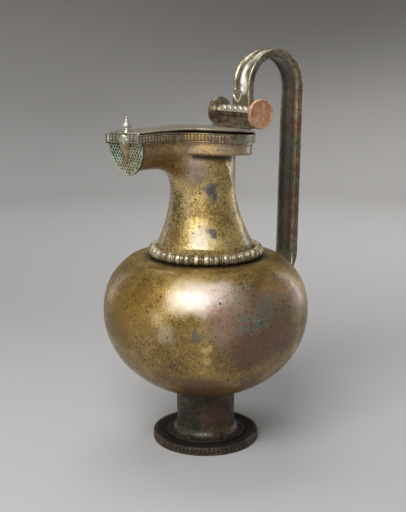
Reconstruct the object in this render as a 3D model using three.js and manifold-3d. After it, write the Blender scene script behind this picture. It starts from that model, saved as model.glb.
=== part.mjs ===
// A lidded bronze jug: globular body on a stemmed foot, flaring neck, a trough spout closed by a
// pierced strainer, a hinged lid and a high strap handle. Millimetres, +Z up.
// +X points to the spout and +Y along the hinge. The origin is the centre of the foot's underside.

import * as THREE from 'three';
import { mergeVertices } from 'three/addons/utils/BufferGeometryUtils.js';
import Module from 'manifold-3d';

const wasm = await Module();
wasm.setup();

// Sheet metal and fits
const wall = 1.8;
const seat_gap = 0.3;
const bore_clearance = 0.1;
const cut_overrun = 5;
const join_overlap = 2;

// Belly
const belly_radius = 91.8;
const belly_equator_z = 122.1;
const belly_lower_height = 77.1;
const belly_upper_height = 63.6;
const belly_shoulder_z = 171.6;
const belly_shoulder_radius = 54;
const belly_blend_radius = 68;
const belly_lower_roundness = 2.02;
const belly_upper_roundness = 2.35;

// Foot
const foot_disc_radius = 48.3;
const foot_disc_height = 7.3;
const foot_lip_width = 3.4;
const foot_lip_depth = 1.3;
const foot_edge_relief = 0.5;
const foot_tongues = 50;
const stem_radius = 26.4;
const stem_wall = 2.2;
const stem_flare_radius = 35.6;
const stem_fillet = 7;
const stem_flange_thickness = 2.2;
const foot_rivets = 6;
const foot_rivet_radius = 1.5;
const foot_rivet_head_radius = 2.4;
const foot_rivet_head_height = 1.3;
const foot_rivet_depth = 3.4;
const foot_rivet_turn_deg = 26;

// Neck and its bead-and-reel ring
const neck_base_radius = 41.4;
const neck_throat_radius = 28;
const neck_flare_top_z = 236;
const neck_cuff_share = 0.2;
const neck_flare_power = 1.9;
const neck_lean = 2.7;
const ring_tube_radius = 4.9;
const ring_bead_relief = 0.8;
const ring_beads = 36;

// Mouth, seen from above: a round lobe behind, a waist and a straight-sided spout in front
const lobe_radius = 43.3;
const spout_half_width = 26.3;
const spout_roll_share = 0.045;
const waist_radius = 26;
const mouth_crest_x = 45;
const mouth_crest_z = 284.2;
const mouth_rear_drop = 4.4;
const rim_band_thickness = 2.5;
const rim_band_height = 7.6;
const collar_height = 19.4;
const collar_round = 2.2;
const trough_depth = 31.4;
const trough_roundness = 1.7;
const trough_fillet_length = 24;
const trough_fillet_height = 14;

// Strainer across the end of the spout
const strainer_top_x = 83.6;
const strainer_lean_deg = 4.5;
const strainer_thickness = 1.6;
const strainer_half_width = 25.7;
const strainer_depth = 26.6;
const strainer_hole_radius = 0.95;
const strainer_hole_pitch = 3.5;
const strainer_hole_margin = 1.7;

// Lid
const lid_thickness = 1.3;
const lid_seat_gap = 0.45;
const lid_inset = 0.6;
const lid_panel_width = 3.2;
const lid_panel_rise = 0.5;
const lid_rear_setback = 2.2;
const fascia_thickness = 2.1;
const fascia_height = 8.4;
const fascia_half_width = 26.4;
const fascia_reeds = 20;
const fascia_reed_relief = 0.6;
const leaf_half_width = 7.2;
const leaf_length = 15.4;
const leaf_thickness = 1.3;
const leaf_ridge = 0.9;
const finial_height = 12.1;
const finial_radius = 3.7;
const finial_tang_radius = 1.6;
const finial_setback = 4.4;

// Hinge
const pin_x = -38;
const pin_z = 295.8;
const pin_radius = 2;
const rotelle_radius = 13;
const rotelle_thickness = 4;
const rotelle_outer_y = 30.2;
const pin_socket_depth = 2.4;
const roll_outer_radius = 6.3;
const roll_inner_radius = 4.4;
const roll_bead_relief = 0.7;
const roll_beads = 7;
const roll_lip_deg = 10;
const bracket_knuckle_radius = 3.9;
const bracket_web_thickness = 3;
const bracket_foot_length = 10;
const bracket_foot_thickness = 1.3;
const bracket_seam = 0.5;
const bracket_rivet_radius = 1;
const bracket_rivet_head_radius = 1.8;
const bracket_rivet_head_height = 0.8;
const yoke_plate_thickness = 2.2;
const yoke_plate_half_width = 9.5;

// Handle
const handle_front_x = -38.4;
const handle_rear_x = -95.8;
const handle_arch_z = 318.8;
const handle_width_front = 24;
const handle_width_rear = 20.6;
const handle_thickness_front = 5.9;
const handle_thickness_rear = 6.8;
const handle_lean = 3;
const handle_bend_z = 164;
const handle_landing_z = 143;
const handle_tip_z = 104;
const handle_leaf_half_width = 14.5;
const handle_leaf_thickness = 3;
const handle_tip_width_share = 0.16;
const handle_flute_depth = 1.3;

// Facets
const around = 36;
const fine_around = 20;
const coarse_around = 8;

// Surfaces as photographed: gold-brown aged bronze, darker foot, green strainer, copper-red disc
const gold_bronze = { color: 0x7d6a3e, roughness: 0.42, metalness: 0.85 };
const dark_bronze = { color: 0x4a4032, roughness: 0.55, metalness: 0.7 };
const grey_bronze = { color: 0x7b7262, roughness: 0.45, metalness: 0.8 };
const bright_bronze = { color: 0xa79a72, roughness: 0.35, metalness: 0.9 };
const green_bronze = { color: 0x93ab93, roughness: 0.7, metalness: 0.35 };
const copper_red = { color: 0xb3826a, roughness: 0.6, metalness: 0.45 };

const up = new THREE.Vector3(0, 0, 1);

// Solids from sections

function signedVolume(positions, triangles) {
  let volume = 0;
  const a = new THREE.Vector3();
  const b = new THREE.Vector3();
  const c = new THREE.Vector3();
  for (let i = 0; i < triangles.length; i += 3) {
    a.fromArray(positions, 3 * triangles[i]);
    b.fromArray(positions, 3 * triangles[i + 1]);
    c.fromArray(positions, 3 * triangles[i + 2]);
    volume += a.dot(b.cross(c));
  }
  return volume;
}

// A closed body with its faces pointing out, whichever way its sections were listed.
function closedGeometry(positions, triangles) {
  if (signedVolume(positions, triangles) < 0) triangles.reverse();
  const geometry = new THREE.BufferGeometry();
  geometry.setAttribute('position', new THREE.Float32BufferAttribute(positions, 3));
  geometry.setIndex(triangles);
  return geometry;
}

// Faces of a flat outline, as mapped to its plane.
function fannedCap(flat) {
  return (section) => {
    const outline = section.map(flat);
    const faces = THREE.ShapeUtils.triangulateShape(outline, []);
    return THREE.ShapeUtils.isClockWise(outline) ? faces.map((face) => face.reverse()) : faces;
  };
}

// Faces of a bent plate whose outline is listed down one side and back up the mirrored one.
function rungCap(section) {
  const last = section.length - 1;
  return Array.from({ length: section.length / 2 - 1 }, (_, i) => [
    [i, i + 1, last - i - 1],
    [i, last - i - 1, last - i],
  ]).flat();
}

// Joins sections (each a closed loop of points) into one solid. A loop of sections closes on itself;
// an open row of them gets a cap at each end.
function loft(sections, cap = null) {
  const size = sections[0].length;
  const positions = sections.flat().flatMap((point) => point.toArray());
  const triangles = [];
  const joins = cap ? sections.length - 1 : sections.length;
  for (let s = 0; s < joins; s += 1) {
    const here = s * size;
    const next = ((s + 1) % sections.length) * size;
    for (let i = 0; i < size; i += 1) {
      const j = (i + 1) % size;
      triangles.push(here + i, here + j, next + j);
      triangles.push(here + i, next + j, next + i);
    }
  }
  if (cap) {
    const end = (sections.length - 1) * size;
    for (const face of cap(sections[0])) triangles.push(...[...face].reverse());
    for (const face of cap(sections[sections.length - 1])) {
      triangles.push(...face.map((corner) => end + corner));
    }
  }
  return closedGeometry(positions, triangles);
}

// A profile of [radius, z] turned about the vertical axis.
function turned(profile, segments) {
  const points = profile.map(([radius, z]) => new THREE.Vector2(radius, z));
  const geometry = new THREE.LatheGeometry(points, segments);
  geometry.rotateX(Math.PI / 2);
  return solidToGeometry(toSolid(geometry));
}

// A plan or side outline given thickness along +Z.
function extruded(shape, depth, curveSegments = coarse_around) {
  return new THREE.ExtrudeGeometry(shape, { depth, bevelEnabled: false, curveSegments });
}

// The side outline (x, z) given a width along Y, centred on centre_y.
function sideExtruded(shape, width, centre_y) {
  const geometry = extruded(shape, width, fine_around);
  geometry.rotateX(Math.PI / 2);
  geometry.translate(0, centre_y + width / 2, 0);
  return geometry;
}

// Cuts and joins

function toSolid(geometry) {
  const bare = geometry.clone();
  bare.deleteAttribute('normal');
  bare.deleteAttribute('uv');
  const merged = mergeVertices(bare);
  const index = merged.index.array;
  const positions = merged.attributes.position.array;
  const triangles = [];
  for (let i = 0; i < index.length; i += 3) {
    const [a, b, c] = index.slice(i, i + 3);
    if (a !== b && b !== c && c !== a) triangles.push(a, b, c);
  }
  if (signedVolume(positions, triangles) < 0) triangles.reverse();
  const mesh = new wasm.Mesh({
    numProp: 3,
    vertProperties: Float32Array.from(positions),
    triVerts: Uint32Array.from(triangles),
  });
  return new wasm.Manifold(mesh);
}

function solidToGeometry(solid) {
  const mesh = solid.getMesh();
  const positions = [];
  for (let i = 0; i < mesh.numVert; i += 1) {
    const start = i * mesh.numProp;
    positions.push(...mesh.vertProperties.slice(start, start + 3));
  }
  return closedGeometry(positions, Array.from(mesh.triVerts));
}

function joined(geometries) {
  return geometries.map(toSolid).reduce((all, solid) => all.add(solid));
}

function cut(geometry, tools) {
  const cutters = joined(tools);
  return solidToGeometry(toSolid(geometry).subtract(cutters));
}

// A cutter for an upright hole, with its flats and not its corners on the radius.
function uprightBore(radius, z_low, z_high, x, y = 0) {
  const reach = radius / Math.cos(Math.PI / coarse_around);
  const geometry = new THREE.CylinderGeometry(reach, reach, z_high - z_low, coarse_around);
  geometry.rotateX(Math.PI / 2);
  geometry.translate(x, y, (z_low + z_high) / 2);
  return geometry;
}

function crossCylinder(radius, half_length, x, z, segments = fine_around) {
  const geometry = new THREE.CylinderGeometry(radius, radius, 2 * half_length, segments);
  geometry.translate(x, 0, z);
  return geometry;
}

function smoothStep(share) {
  const s = THREE.MathUtils.clamp(share, 0, 1);
  return s * s * (3 - 2 * s);
}

function circleLoop(radius, z, centre_x, segments) {
  return Array.from({ length: segments }, (_, i) => {
    const angle = (2 * Math.PI * i) / segments;
    return new THREE.Vector3(centre_x + radius * Math.cos(angle), radius * Math.sin(angle), z);
  });
}

const inPlan = (point) => new THREE.Vector2(point.x, point.y);
const inFront = (point) => new THREE.Vector2(point.y, point.z);
const inSide = (point) => new THREE.Vector2(point.x, point.z);

// Belly

// Height above or below the equator at a radius, for a half body of that height and roundness.
function bulge(radius, widest, height, roundness) {
  return height * (1 - (radius / widest) ** roundness) ** (1 / roundness);
}

function bellyHeightAbove(radius, inset = 0) {
  const height = belly_upper_height - inset;
  return belly_equator_z + bulge(radius, belly_radius - inset, height, belly_upper_roundness);
}

function bellyHeightBelow(radius, inset = 0) {
  const height = belly_lower_height - inset;
  return belly_equator_z - bulge(radius, belly_radius - inset, height, belly_lower_roundness);
}

function bellyRadiusAbove(z) {
  const lift = Math.max(0, z - belly_equator_z);
  return bulge(lift, belly_upper_height, belly_radius, belly_upper_roundness);
}

function bellyRadiusBelow(z) {
  const drop = Math.max(0, belly_equator_z - z);
  return bulge(drop, belly_lower_height, belly_radius, belly_lower_roundness);
}

function bellyRadius(z) {
  return z > belly_equator_z ? bellyRadiusAbove(z) : bellyRadiusBelow(z);
}

// From the bottom pole up over the equator to the edge of the neck opening.
function bellySkin(inset, opening_radius, lower_steps, upper_steps) {
  const points = [];
  const widest = belly_radius - inset;
  for (let i = 0; i < lower_steps; i += 1) {
    const radius = widest * Math.sin((Math.PI / 2) * (i / lower_steps));
    points.push([radius, bellyHeightBelow(radius, inset)]);
  }
  const blend_radius = belly_blend_radius - inset;
  const blend_angle = Math.acos(blend_radius / widest);
  for (let i = 0; i <= upper_steps; i += 1) {
    const radius = widest * Math.cos(blend_angle * (i / upper_steps));
    points.push([radius, bellyHeightAbove(radius, inset)]);
  }
  const top_z = belly_shoulder_z - inset;
  const blend_z = bellyHeightAbove(blend_radius, inset);
  const bend = new THREE.QuadraticBezierCurve(
    new THREE.Vector2(blend_radius, blend_z),
    new THREE.Vector2((blend_radius + belly_shoulder_radius) / 2, top_z),
    new THREE.Vector2(belly_shoulder_radius, top_z),
  );
  for (const point of bend.getPoints(4).slice(1)) points.push([point.x, point.y]);
  points.push([opening_radius, top_z]);
  return points;
}

const neck_bore_radius = neck_base_radius - wall;

function belly() {
  const outside = bellySkin(0, neck_bore_radius, 10, 6);
  const inside = bellySkin(wall, neck_bore_radius, 5, 3).reverse();
  return turned([...outside, ...inside], around);
}

// Foot

const disc_floor_z = foot_disc_height - foot_lip_depth;
const flange_low_z = disc_floor_z + seat_gap;
const flange_top_z = flange_low_z + stem_flange_thickness;
const foot_rivet_circle = (stem_radius + stem_flare_radius) / 2 + foot_rivet_head_height;

function footRivetPlaces() {
  return Array.from({ length: foot_rivets }, (_, i) => {
    const angle = THREE.MathUtils.degToRad(foot_rivet_turn_deg + (360 / foot_rivets) * i);
    return [foot_rivet_circle * Math.cos(angle), foot_rivet_circle * Math.sin(angle)];
  });
}

function footRivetHoles(z_low, z_high) {
  const radius = foot_rivet_radius + bore_clearance;
  return footRivetPlaces().map(([x, y]) => uprightBore(radius, z_low, z_high, x, y));
}

// The edge carries a row of upright tongues, here as shallow scallops between two plain fillets.
function footDisc() {
  const lip_radius = foot_disc_radius - foot_lip_width;
  const fillet = foot_edge_relief;
  const rows = [
    [foot_disc_radius - 2 * fillet, 0, false],
    [foot_disc_radius - fillet, fillet, false],
    [foot_disc_radius - fillet, 2 * fillet, true],
    [foot_disc_radius - fillet, foot_disc_height - 2 * fillet, true],
    [foot_disc_radius - fillet, foot_disc_height, false],
    [lip_radius, foot_disc_height, false],
    [lip_radius - foot_lip_depth, disc_floor_z, false],
  ];
  const steps = 2 * foot_tongues;
  const sections = rows.map(([radius, z, scalloped]) => {
    return Array.from({ length: steps }, (_, i) => {
      const angle = (2 * Math.PI * i) / steps;
      const reach = scalloped && i % 2 === 0 ? radius + foot_edge_relief : radius;
      return new THREE.Vector3(reach * Math.cos(angle), reach * Math.sin(angle), z);
    });
  });
  const disc = loft(sections, fannedCap(inPlan));
  const hole_bottom = disc_floor_z - foot_rivet_depth;
  return cut(disc, footRivetHoles(hole_bottom, foot_disc_height + cut_overrun));
}

function footStem() {
  const inner = stem_radius - stem_wall;
  const fillet_centre_r = stem_radius + stem_fillet;
  const fillet_centre_z = flange_top_z + stem_fillet;
  const profile = [[stem_flare_radius, flange_low_z], [stem_flare_radius, flange_top_z]];
  for (let i = 0; i <= 5; i += 1) {
    const angle = (Math.PI / 2) * (i / 5);
    profile.push([
      fillet_centre_r - stem_fillet * Math.sin(angle),
      fillet_centre_z - stem_fillet * Math.cos(angle),
    ]);
  }
  profile.push([stem_radius, bellyHeightBelow(stem_radius) - seat_gap]);
  profile.push([inner, bellyHeightBelow(inner) - seat_gap]);
  profile.push([inner, fillet_centre_z]);
  profile.push([inner + stem_wall, flange_low_z]);
  profile.push(profile[0]);
  const stem = turned(profile, around);
  return cut(stem, footRivetHoles(flange_low_z - cut_overrun, fillet_centre_z + cut_overrun));
}

// A domed head over a plain shank that fills its hole.
function rivet(shank_radius, shank_z, head_radius, head_z, head_height) {
  const profile = [[0, shank_z], [shank_radius, shank_z], [shank_radius, head_z]];
  const steps = 3;
  for (let i = 0; i < steps; i += 1) {
    const angle = (Math.PI / 2) * (i / steps);
    profile.push([head_radius * Math.cos(angle), head_z + head_height * Math.sin(angle)]);
  }
  profile.push([0, head_z + head_height]);
  return turned(profile, coarse_around);
}

// The flare rises towards the stem, so each head stands on a small spot face cut by its own height.
function footRivetSeat() {
  const reach = stem_radius + stem_fillet - (foot_rivet_circle - foot_rivet_head_radius);
  const clamped = THREE.MathUtils.clamp(reach, 0, stem_fillet);
  return flange_top_z + stem_fillet - Math.sqrt(stem_fillet ** 2 - clamped ** 2) + seat_gap;
}

// Mouth outline

const waist_centre_y = spout_half_width + waist_radius;
const waist_reach = lobe_radius + waist_radius;
const waist_centre_x = Math.sqrt(waist_reach ** 2 - waist_centre_y ** 2);

// Height of the mouth's edge: a shallow arch from the hinge to the spout, which leans a little
// to its far side.
function mouthLine(x, y = 0) {
  const share = (x - mouth_crest_x) / (mouth_crest_x - pin_x);
  const roll = spout_roll_share * smoothStep(x / mouth_crest_x);
  return mouth_crest_z - mouth_rear_drop * share * share + roll * y;
}

// The mouth seen from above, moved in by an inset, from its rear point round to front_x and back.
function mouthPlan(inset, front_x) {
  const lobe = lobe_radius - inset;
  const hollow = waist_radius + inset;
  const meet_angle = Math.atan2(waist_centre_y, waist_centre_x);
  const side = [];
  const lobe_steps = 12;
  for (let i = 0; i < lobe_steps; i += 1) {
    const angle = Math.PI - (Math.PI - meet_angle) * ((i + 0.5) / lobe_steps);
    side.push([lobe * Math.cos(angle), lobe * Math.sin(angle)]);
  }
  const waist_steps = 4;
  for (let i = 0; i <= waist_steps; i += 1) {
    const angle = meet_angle + (Math.PI / 2 - meet_angle) * (i / waist_steps);
    side.push([
      waist_centre_x - hollow * Math.cos(angle),
      waist_centre_y - hollow * Math.sin(angle),
    ]);
  }
  const straight_steps = 3;
  const last_x = side[side.length - 1][0];
  for (let i = 1; i <= straight_steps; i += 1) {
    const x = last_x + (front_x - last_x) * (i / straight_steps);
    side.push([x, spout_half_width - inset]);
  }
  const mirrored = [...side].reverse().map(([x, y]) => [x, -y]);
  return [...side, ...mirrored];
}

// A wall or plate between two heights measured from the mouth line.
function mouthPrism(levels) {
  const sections = levels.map(([plan, offset]) => {
    return plan.map(([x, y]) => new THREE.Vector3(x, y, mouthLine(x, y) + offset));
  });
  return loft(sections, rungCap);
}

// Neck with its collar and spout

const neck_low_z = belly_shoulder_z + seat_gap;
const neck_top_z = mouthLine(0) - collar_height;
const wall_inset = rim_band_thickness + seat_gap;
const bore_inset = wall_inset + wall;
const strainer_lean = THREE.MathUtils.degToRad(strainer_lean_deg);
const strainer_top_z = mouthLine(strainer_top_x);
const strainer_slant = strainer_thickness / Math.cos(strainer_lean);
const trough_front_x = strainer_top_x - strainer_slant - seat_gap;

// The neck's cross sections are circles whose centres drift towards the spout. A short straight
// cuff stands inside the ring, the flare above it runs out into the throat.
function neckColumn(inset, z_low, z_high, steps) {
  const flare_height = neck_flare_top_z - neck_low_z;
  const cuff = neck_cuff_share;
  const flare_shares = Array.from({ length: steps + 1 }, (_, i) => cuff + (1 - cuff) * (i / steps));
  const heights = [z_low, ...flare_shares.map((s) => neck_low_z + flare_height * s), z_high];
  const sections = heights.map((z) => {
    const share = (z - neck_low_z) / flare_height;
    const open = Math.max(0, 1 - share) / (1 - cuff);
    const flare = Math.min(1, open ** neck_flare_power);
    const radius = neck_throat_radius + (neck_base_radius - neck_throat_radius) * flare;
    return circleLoop(radius - inset, z, neck_lean * smoothStep(share), around);
  });
  return loft(sections, fannedCap(inPlan));
}

const fillet_end_x = neck_throat_radius + neck_lean + trough_fillet_length;

// Bottom of the trough, curving down into the front of the neck as a quarter ellipse.
function troughBottom(x, inset) {
  const level = mouthLine(x) - trough_depth + inset;
  const share = THREE.MathUtils.clamp((fillet_end_x - x) / trough_fillet_length, 0, 1);
  return level - trough_fillet_height * (1 - Math.sqrt(1 - share ** 2));
}

function troughSection(x, half_width, top_z, bottom_z, shift_x) {
  const depth = top_z - bottom_z;
  const points = [];
  const steps = 7;
  for (let i = -steps; i <= steps; i += 1) {
    const angle = (Math.PI / 2) * (i / steps);
    const y = half_width * Math.sign(i) * Math.abs(Math.sin(angle)) ** (2 / trough_roundness);
    const drop = depth * Math.cos(angle) ** (2 / trough_roundness);
    const z = top_z - drop;
    points.push(new THREE.Vector3(x + shift_x(z), y, z));
  }
  return points;
}

// The spout's trough, cut off in front along the lean of the strainer.
function trough(inset, rise, front_extra) {
  const rear_x = neck_throat_radius / 2;
  const stations = [rear_x];
  const fillet_steps = 5;
  for (let i = 0; i <= fillet_steps; i += 1) {
    stations.push(fillet_end_x - trough_fillet_length * (1 - (i / fillet_steps)) ** 2);
  }
  stations.push((fillet_end_x + trough_front_x) / 2, trough_front_x + front_extra);
  const half_width = spout_half_width - wall_inset - inset;
  const sections = stations.map((x, i) => {
    const top_z = mouthLine(x) - rim_band_height + rise;
    const last = i === stations.length - 1;
    const shift = (z) => (last ? (z - strainer_top_z) * Math.tan(strainer_lean) : 0);
    return troughSection(x, half_width, top_z, troughBottom(x, inset), shift);
  });
  return loft(sections, fannedCap(inFront));
}

// Drum under the rear of the mouth: a circle whose lower edge is rounded, cut to the mouth line.
function collarDrum(inset, levels) {
  const sections = levels.map(([tuck, offset]) => {
    return circleLoop(lobe_radius - inset - tuck, 0, 0, around).map((point) => {
      const z = mouthLine(point.x, point.y) + offset;
      return new THREE.Vector3(point.x, point.y, z);
    });
  });
  return loft(sections, fannedCap(inPlan));
}

function neckAndSpout() {
  const low = -rim_band_height - join_overlap;
  const front_x = trough_front_x - (join_overlap - low) * Math.tan(strainer_lean);
  const band = mouthPlan(wall_inset, front_x);
  const outer = joined([
    neckColumn(0, neck_low_z, neck_top_z + wall, 7),
    collarDrum(wall_inset, [
      [collar_round, -collar_height],
      [0, collar_round - collar_height],
      [0, low],
    ]),
    mouthPrism([[band, low - join_overlap], [band, 0]]),
    trough(0, join_overlap, 0),
  ]);
  const band_bore = mouthPlan(bore_inset, front_x + cut_overrun);
  const inner = joined([
    neckColumn(wall, neck_low_z - cut_overrun, neck_top_z + 2 * wall, 5),
    collarDrum(bore_inset, [[0, wall - collar_height], [0, join_overlap - rim_band_height]]),
    mouthPrism([[band_bore, low], [band_bore, cut_overrun]]),
    trough(wall, 2 * join_overlap, cut_overrun),
  ]);
  return solidToGeometry(outer.subtract(inner));
}

// Ring of beads that hides the joint of neck and belly

function neckRing() {
  const centre_radius = neck_base_radius + seat_gap + ring_tube_radius;
  const centre_z = belly_shoulder_z + seat_gap + ring_tube_radius;
  const swells = [0, 1, 1];
  const width_shares = [0, 0.3, 0.7];
  const sides = 6;
  const sections = [];
  for (let bead = 0; bead < ring_beads; bead += 1) {
    swells.forEach((swell, k) => {
      const angle = (2 * Math.PI * (bead + width_shares[k])) / ring_beads;
      const tube = ring_tube_radius - ring_bead_relief * (1 - swell);
      sections.push(Array.from({ length: sides }, (_, i) => {
        const turn = (2 * Math.PI * i) / sides;
        const radius = centre_radius + tube * Math.cos(turn);
        const z = centre_z + tube * Math.sin(turn);
        return new THREE.Vector3(radius * Math.cos(angle), radius * Math.sin(angle), z);
      }));
    });
  }
  return loft(sections);
}

// Band soldered round the outside of the mouth, open where the strainer stands

function rimBand() {
  const front_x = trough_front_x - rim_band_height * Math.tan(strainer_lean);
  const outer = mouthPlan(0, front_x);
  const inner = mouthPlan(rim_band_thickness, front_x);
  const half = outer.length / 2;
  const order = [...outer.keys()].map((i) => (i + half) % outer.length);
  const bead = rim_band_thickness / 3;
  const sections = order.map((i) => {
    const [xo, yo] = outer[i];
    const [xi, yi] = inner[i];
    const waist_x = xo + (xi - xo) / 3;
    const waist_y = yo + (yi - yo) / 3;
    const at = (x, y, drop) => new THREE.Vector3(x, y, mouthLine(xo, yo) - drop);
    return [
      at(xi, yi, 0),
      at(xo, yo, 0),
      at(xo, yo, bead),
      at(waist_x, waist_y, 2 * bead),
      at(waist_x, waist_y, rim_band_height - 2 * bead),
      at(xo, yo, rim_band_height - bead),
      at(xo, yo, rim_band_height),
      at(xi, yi, rim_band_height),
    ];
  });
  return loft(sections, fannedCap(inFront));
}

// Strainer

// The plate's outline in its own plane: y across, v downwards from the mouth line.
function strainerHalfWidth(v, margin = 0) {
  const shoulder = rim_band_height;
  const widest = strainer_half_width - margin;
  const depth = strainer_depth - margin;
  if (v <= shoulder) return widest;
  if (v >= shoulder + depth) return 0;
  return bulge(v - shoulder, depth, widest, trough_roundness);
}

function strainerHoles() {
  const places = [];
  const row_pitch = strainer_hole_pitch * Math.sin(Math.PI / 3);
  const margin = strainer_hole_margin + strainer_hole_radius;
  const first_v = fascia_height + strainer_hole_pitch / 2;
  const last_v = rim_band_height + strainer_depth - margin;
  const rows = Math.floor((last_v - first_v) / row_pitch);
  for (let row = 0; row <= rows; row += 1) {
    const v = first_v + row * row_pitch;
    const reach = strainerHalfWidth(v, margin);
    const shift = row % 2 === 0 ? 0 : strainer_hole_pitch / 2;
    const count = Math.ceil(reach / strainer_hole_pitch);
    for (let k = -count; k <= count; k += 1) {
      const y = k * strainer_hole_pitch + shift;
      if (Math.abs(y) <= reach) places.push([y, v]);
    }
  }
  return places;
}

function strainer() {
  const shape = new THREE.Shape();
  const steps = 9;
  const outline = [];
  for (let i = 0; i <= steps; i += 1) {
    const angle = (Math.PI / 2) * (i / steps);
    const v = rim_band_height + strainer_depth * Math.sin(angle) ** (2 / trough_roundness);
    outline.push([strainerHalfWidth(v), v]);
  }
  shape.moveTo(strainer_half_width, spout_roll_share * strainer_half_width);
  shape.lineTo(-strainer_half_width, -spout_roll_share * strainer_half_width);
  for (const [y, v] of outline) shape.lineTo(-y, -v);
  for (const [y, v] of outline.slice(0, -1).reverse()) shape.lineTo(y, -v);
  const sides = 5;
  for (const [y, v] of strainerHoles()) {
    const hole = new THREE.Path();
    for (let i = 0; i < sides; i += 1) {
      const angle = (2 * Math.PI * i) / sides;
      const hole_y = y + strainer_hole_radius * Math.cos(angle);
      const hole_z = strainer_hole_radius * Math.sin(angle) - v;
      if (i === 0) hole.moveTo(hole_y, hole_z);
      else hole.lineTo(hole_y, hole_z);
    }
    hole.closePath();
    shape.holes.push(hole);
  }
  const geometry = extruded(shape, strainer_thickness);
  const frame = new THREE.Matrix4().makeBasis(
    new THREE.Vector3(0, 1, 0),
    up,
    new THREE.Vector3(1, 0, 0),
  );
  geometry.applyMatrix4(frame);
  geometry.translate(-strainer_thickness, 0, 0);
  geometry.rotateY(strainer_lean);
  geometry.translate(strainer_top_x, 0, strainer_top_z);
  return geometry;
}

// Lid

const lid_low = lid_seat_gap;
const lid_high = lid_seat_gap + lid_thickness;
const lid_rear_x = pin_x - lid_rear_setback;
const fascia_back_x = strainer_top_x + seat_gap;
const fascia_front_x = fascia_back_x + fascia_thickness;
const lid_front_x = fascia_back_x - seat_gap;
const finial_x = fascia_back_x + fascia_thickness - finial_setback;
const roll_half_length = rotelle_outer_y - rotelle_thickness - seat_gap;
const bracket_half_length = roll_half_length - seat_gap;

function bracketRivetPlaces() {
  const x = pin_x + bracket_web_thickness / 2 + bracket_foot_length / 2;
  const y = bracket_half_length;
  return [-0.75, -0.25, 0.25, 0.75].map((share) => [x, y * share]);
}

function lidPlan(inset) {
  const plan = mouthPlan(lid_inset + inset, lid_front_x - inset);
  return plan.map(([x, y]) => [Math.max(x, lid_rear_x + inset), y]);
}

// A flat plate with a raised panel, following the arch of the mouth.
function lid() {
  const rim = lidPlan(0);
  const panel = lidPlan(lid_panel_width);
  const inner = lidPlan(lid_panel_width + lid_panel_rise);
  const plate = mouthPrism([
    [rim, lid_low],
    [rim, lid_high],
    [panel, lid_high],
    [inner, lid_high + lid_panel_rise],
  ]);
  const low = mouthLine(lid_rear_x) - cut_overrun;
  const high = mouth_crest_z + cut_overrun;
  const tang = finial_tang_radius + bore_clearance;
  const rivet_hole = bracket_rivet_radius + bore_clearance;
  const holes = bracketRivetPlaces().map(([x, y]) => uprightBore(rivet_hole, low, high, x, y));
  holes.push(uprightBore(tang, low, high, finial_x));
  return cut(plate, holes);
}

// Front board of the lid, reeded, which drops in front of the strainer
function lidFascia() {
  const shape = new THREE.Shape();
  const reed = (2 * fascia_half_width) / fascia_reeds;
  const valley = fascia_front_x - fascia_reed_relief;
  shape.moveTo(fascia_back_x, -fascia_half_width);
  shape.lineTo(valley, -fascia_half_width);
  for (let i = 0; i < fascia_reeds; i += 1) {
    const start = -fascia_half_width + i * reed;
    shape.lineTo(fascia_front_x, start + reed / 4);
    shape.lineTo(fascia_front_x, start + (3 * reed) / 4);
    shape.lineTo(valley, start + reed);
  }
  shape.lineTo(fascia_back_x, fascia_half_width);
  const geometry = extruded(shape, fascia_height);
  const places = geometry.attributes.position;
  for (let i = 0; i < places.count; i += 1) {
    const top_z = mouthLine(fascia_back_x, places.getY(i)) + lid_high;
    places.setZ(i, places.getZ(i) + top_z - fascia_height);
  }
  return geometry;
}

// Pointed leaf with a middle ridge, hanging from the front board over the strainer
function lidLeaf() {
  const lean = Math.tan(strainer_lean);
  const root_z = mouthLine(fascia_back_x) + lid_high - fascia_height - seat_gap;
  const half_shares = [0.86, 1, 0.84, 0.5, 0.08];
  const drop_shares = [0, 0.15, 0.45, 0.75, 1];
  const sections = half_shares.map((half_share, i) => {
    const drop = leaf_length * drop_shares[i];
    const half = leaf_half_width * half_share;
    const z = root_z - drop;
    const back = fascia_back_x + seat_gap - (strainer_top_z - z) * lean;
    const front = back + leaf_thickness * (1 - drop_shares[i] / 3);
    return [
      new THREE.Vector3(back, -half, z),
      new THREE.Vector3(front, -half, z),
      new THREE.Vector3(front - leaf_ridge / 2, -half / 3, z),
      new THREE.Vector3(front + leaf_ridge / 2, 0, z),
      new THREE.Vector3(front - leaf_ridge / 2, half / 3, z),
      new THREE.Vector3(front, half, z),
      new THREE.Vector3(back, half, z),
    ];
  });
  return loft(sections, fannedCap(inPlan));
}

// Pear-shaped knob with a ball tip; its tang is riveted through the lid.
function lidFinial() {
  const seat = mouthLine(finial_x) + lid_high + lid_panel_rise + seat_gap;
  const under = mouthLine(finial_x) + lid_low;
  const radius_shares = [0.8, 0.8, 0.45, 0.62, 0.4, 0.72, 1, 0.88, 0.5, 0.24, 0.2, 0.34, 0.3];
  const height_shares = [0, 0.08, 0.14, 0.19, 0.25, 0.34, 0.46, 0.56, 0.68, 0.8, 0.86, 0.92, 0.97];
  const profile = [[0, under], [finial_tang_radius, under], [finial_tang_radius, seat]];
  radius_shares.forEach((share, i) => {
    profile.push([finial_radius * share, seat + finial_height * height_shares[i]]);
  });
  profile.push([0, seat + finial_height]);
  const geometry = turned(profile, fine_around / 2);
  geometry.translate(finial_x, 0, 0);
  return geometry;
}

// Hinge

const bracket_seat = (x) => mouthLine(x) + lid_high + lid_panel_rise + seat_gap;
const bracket_foot_x = pin_x + bracket_web_thickness / 2 + bracket_foot_length;

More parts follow.
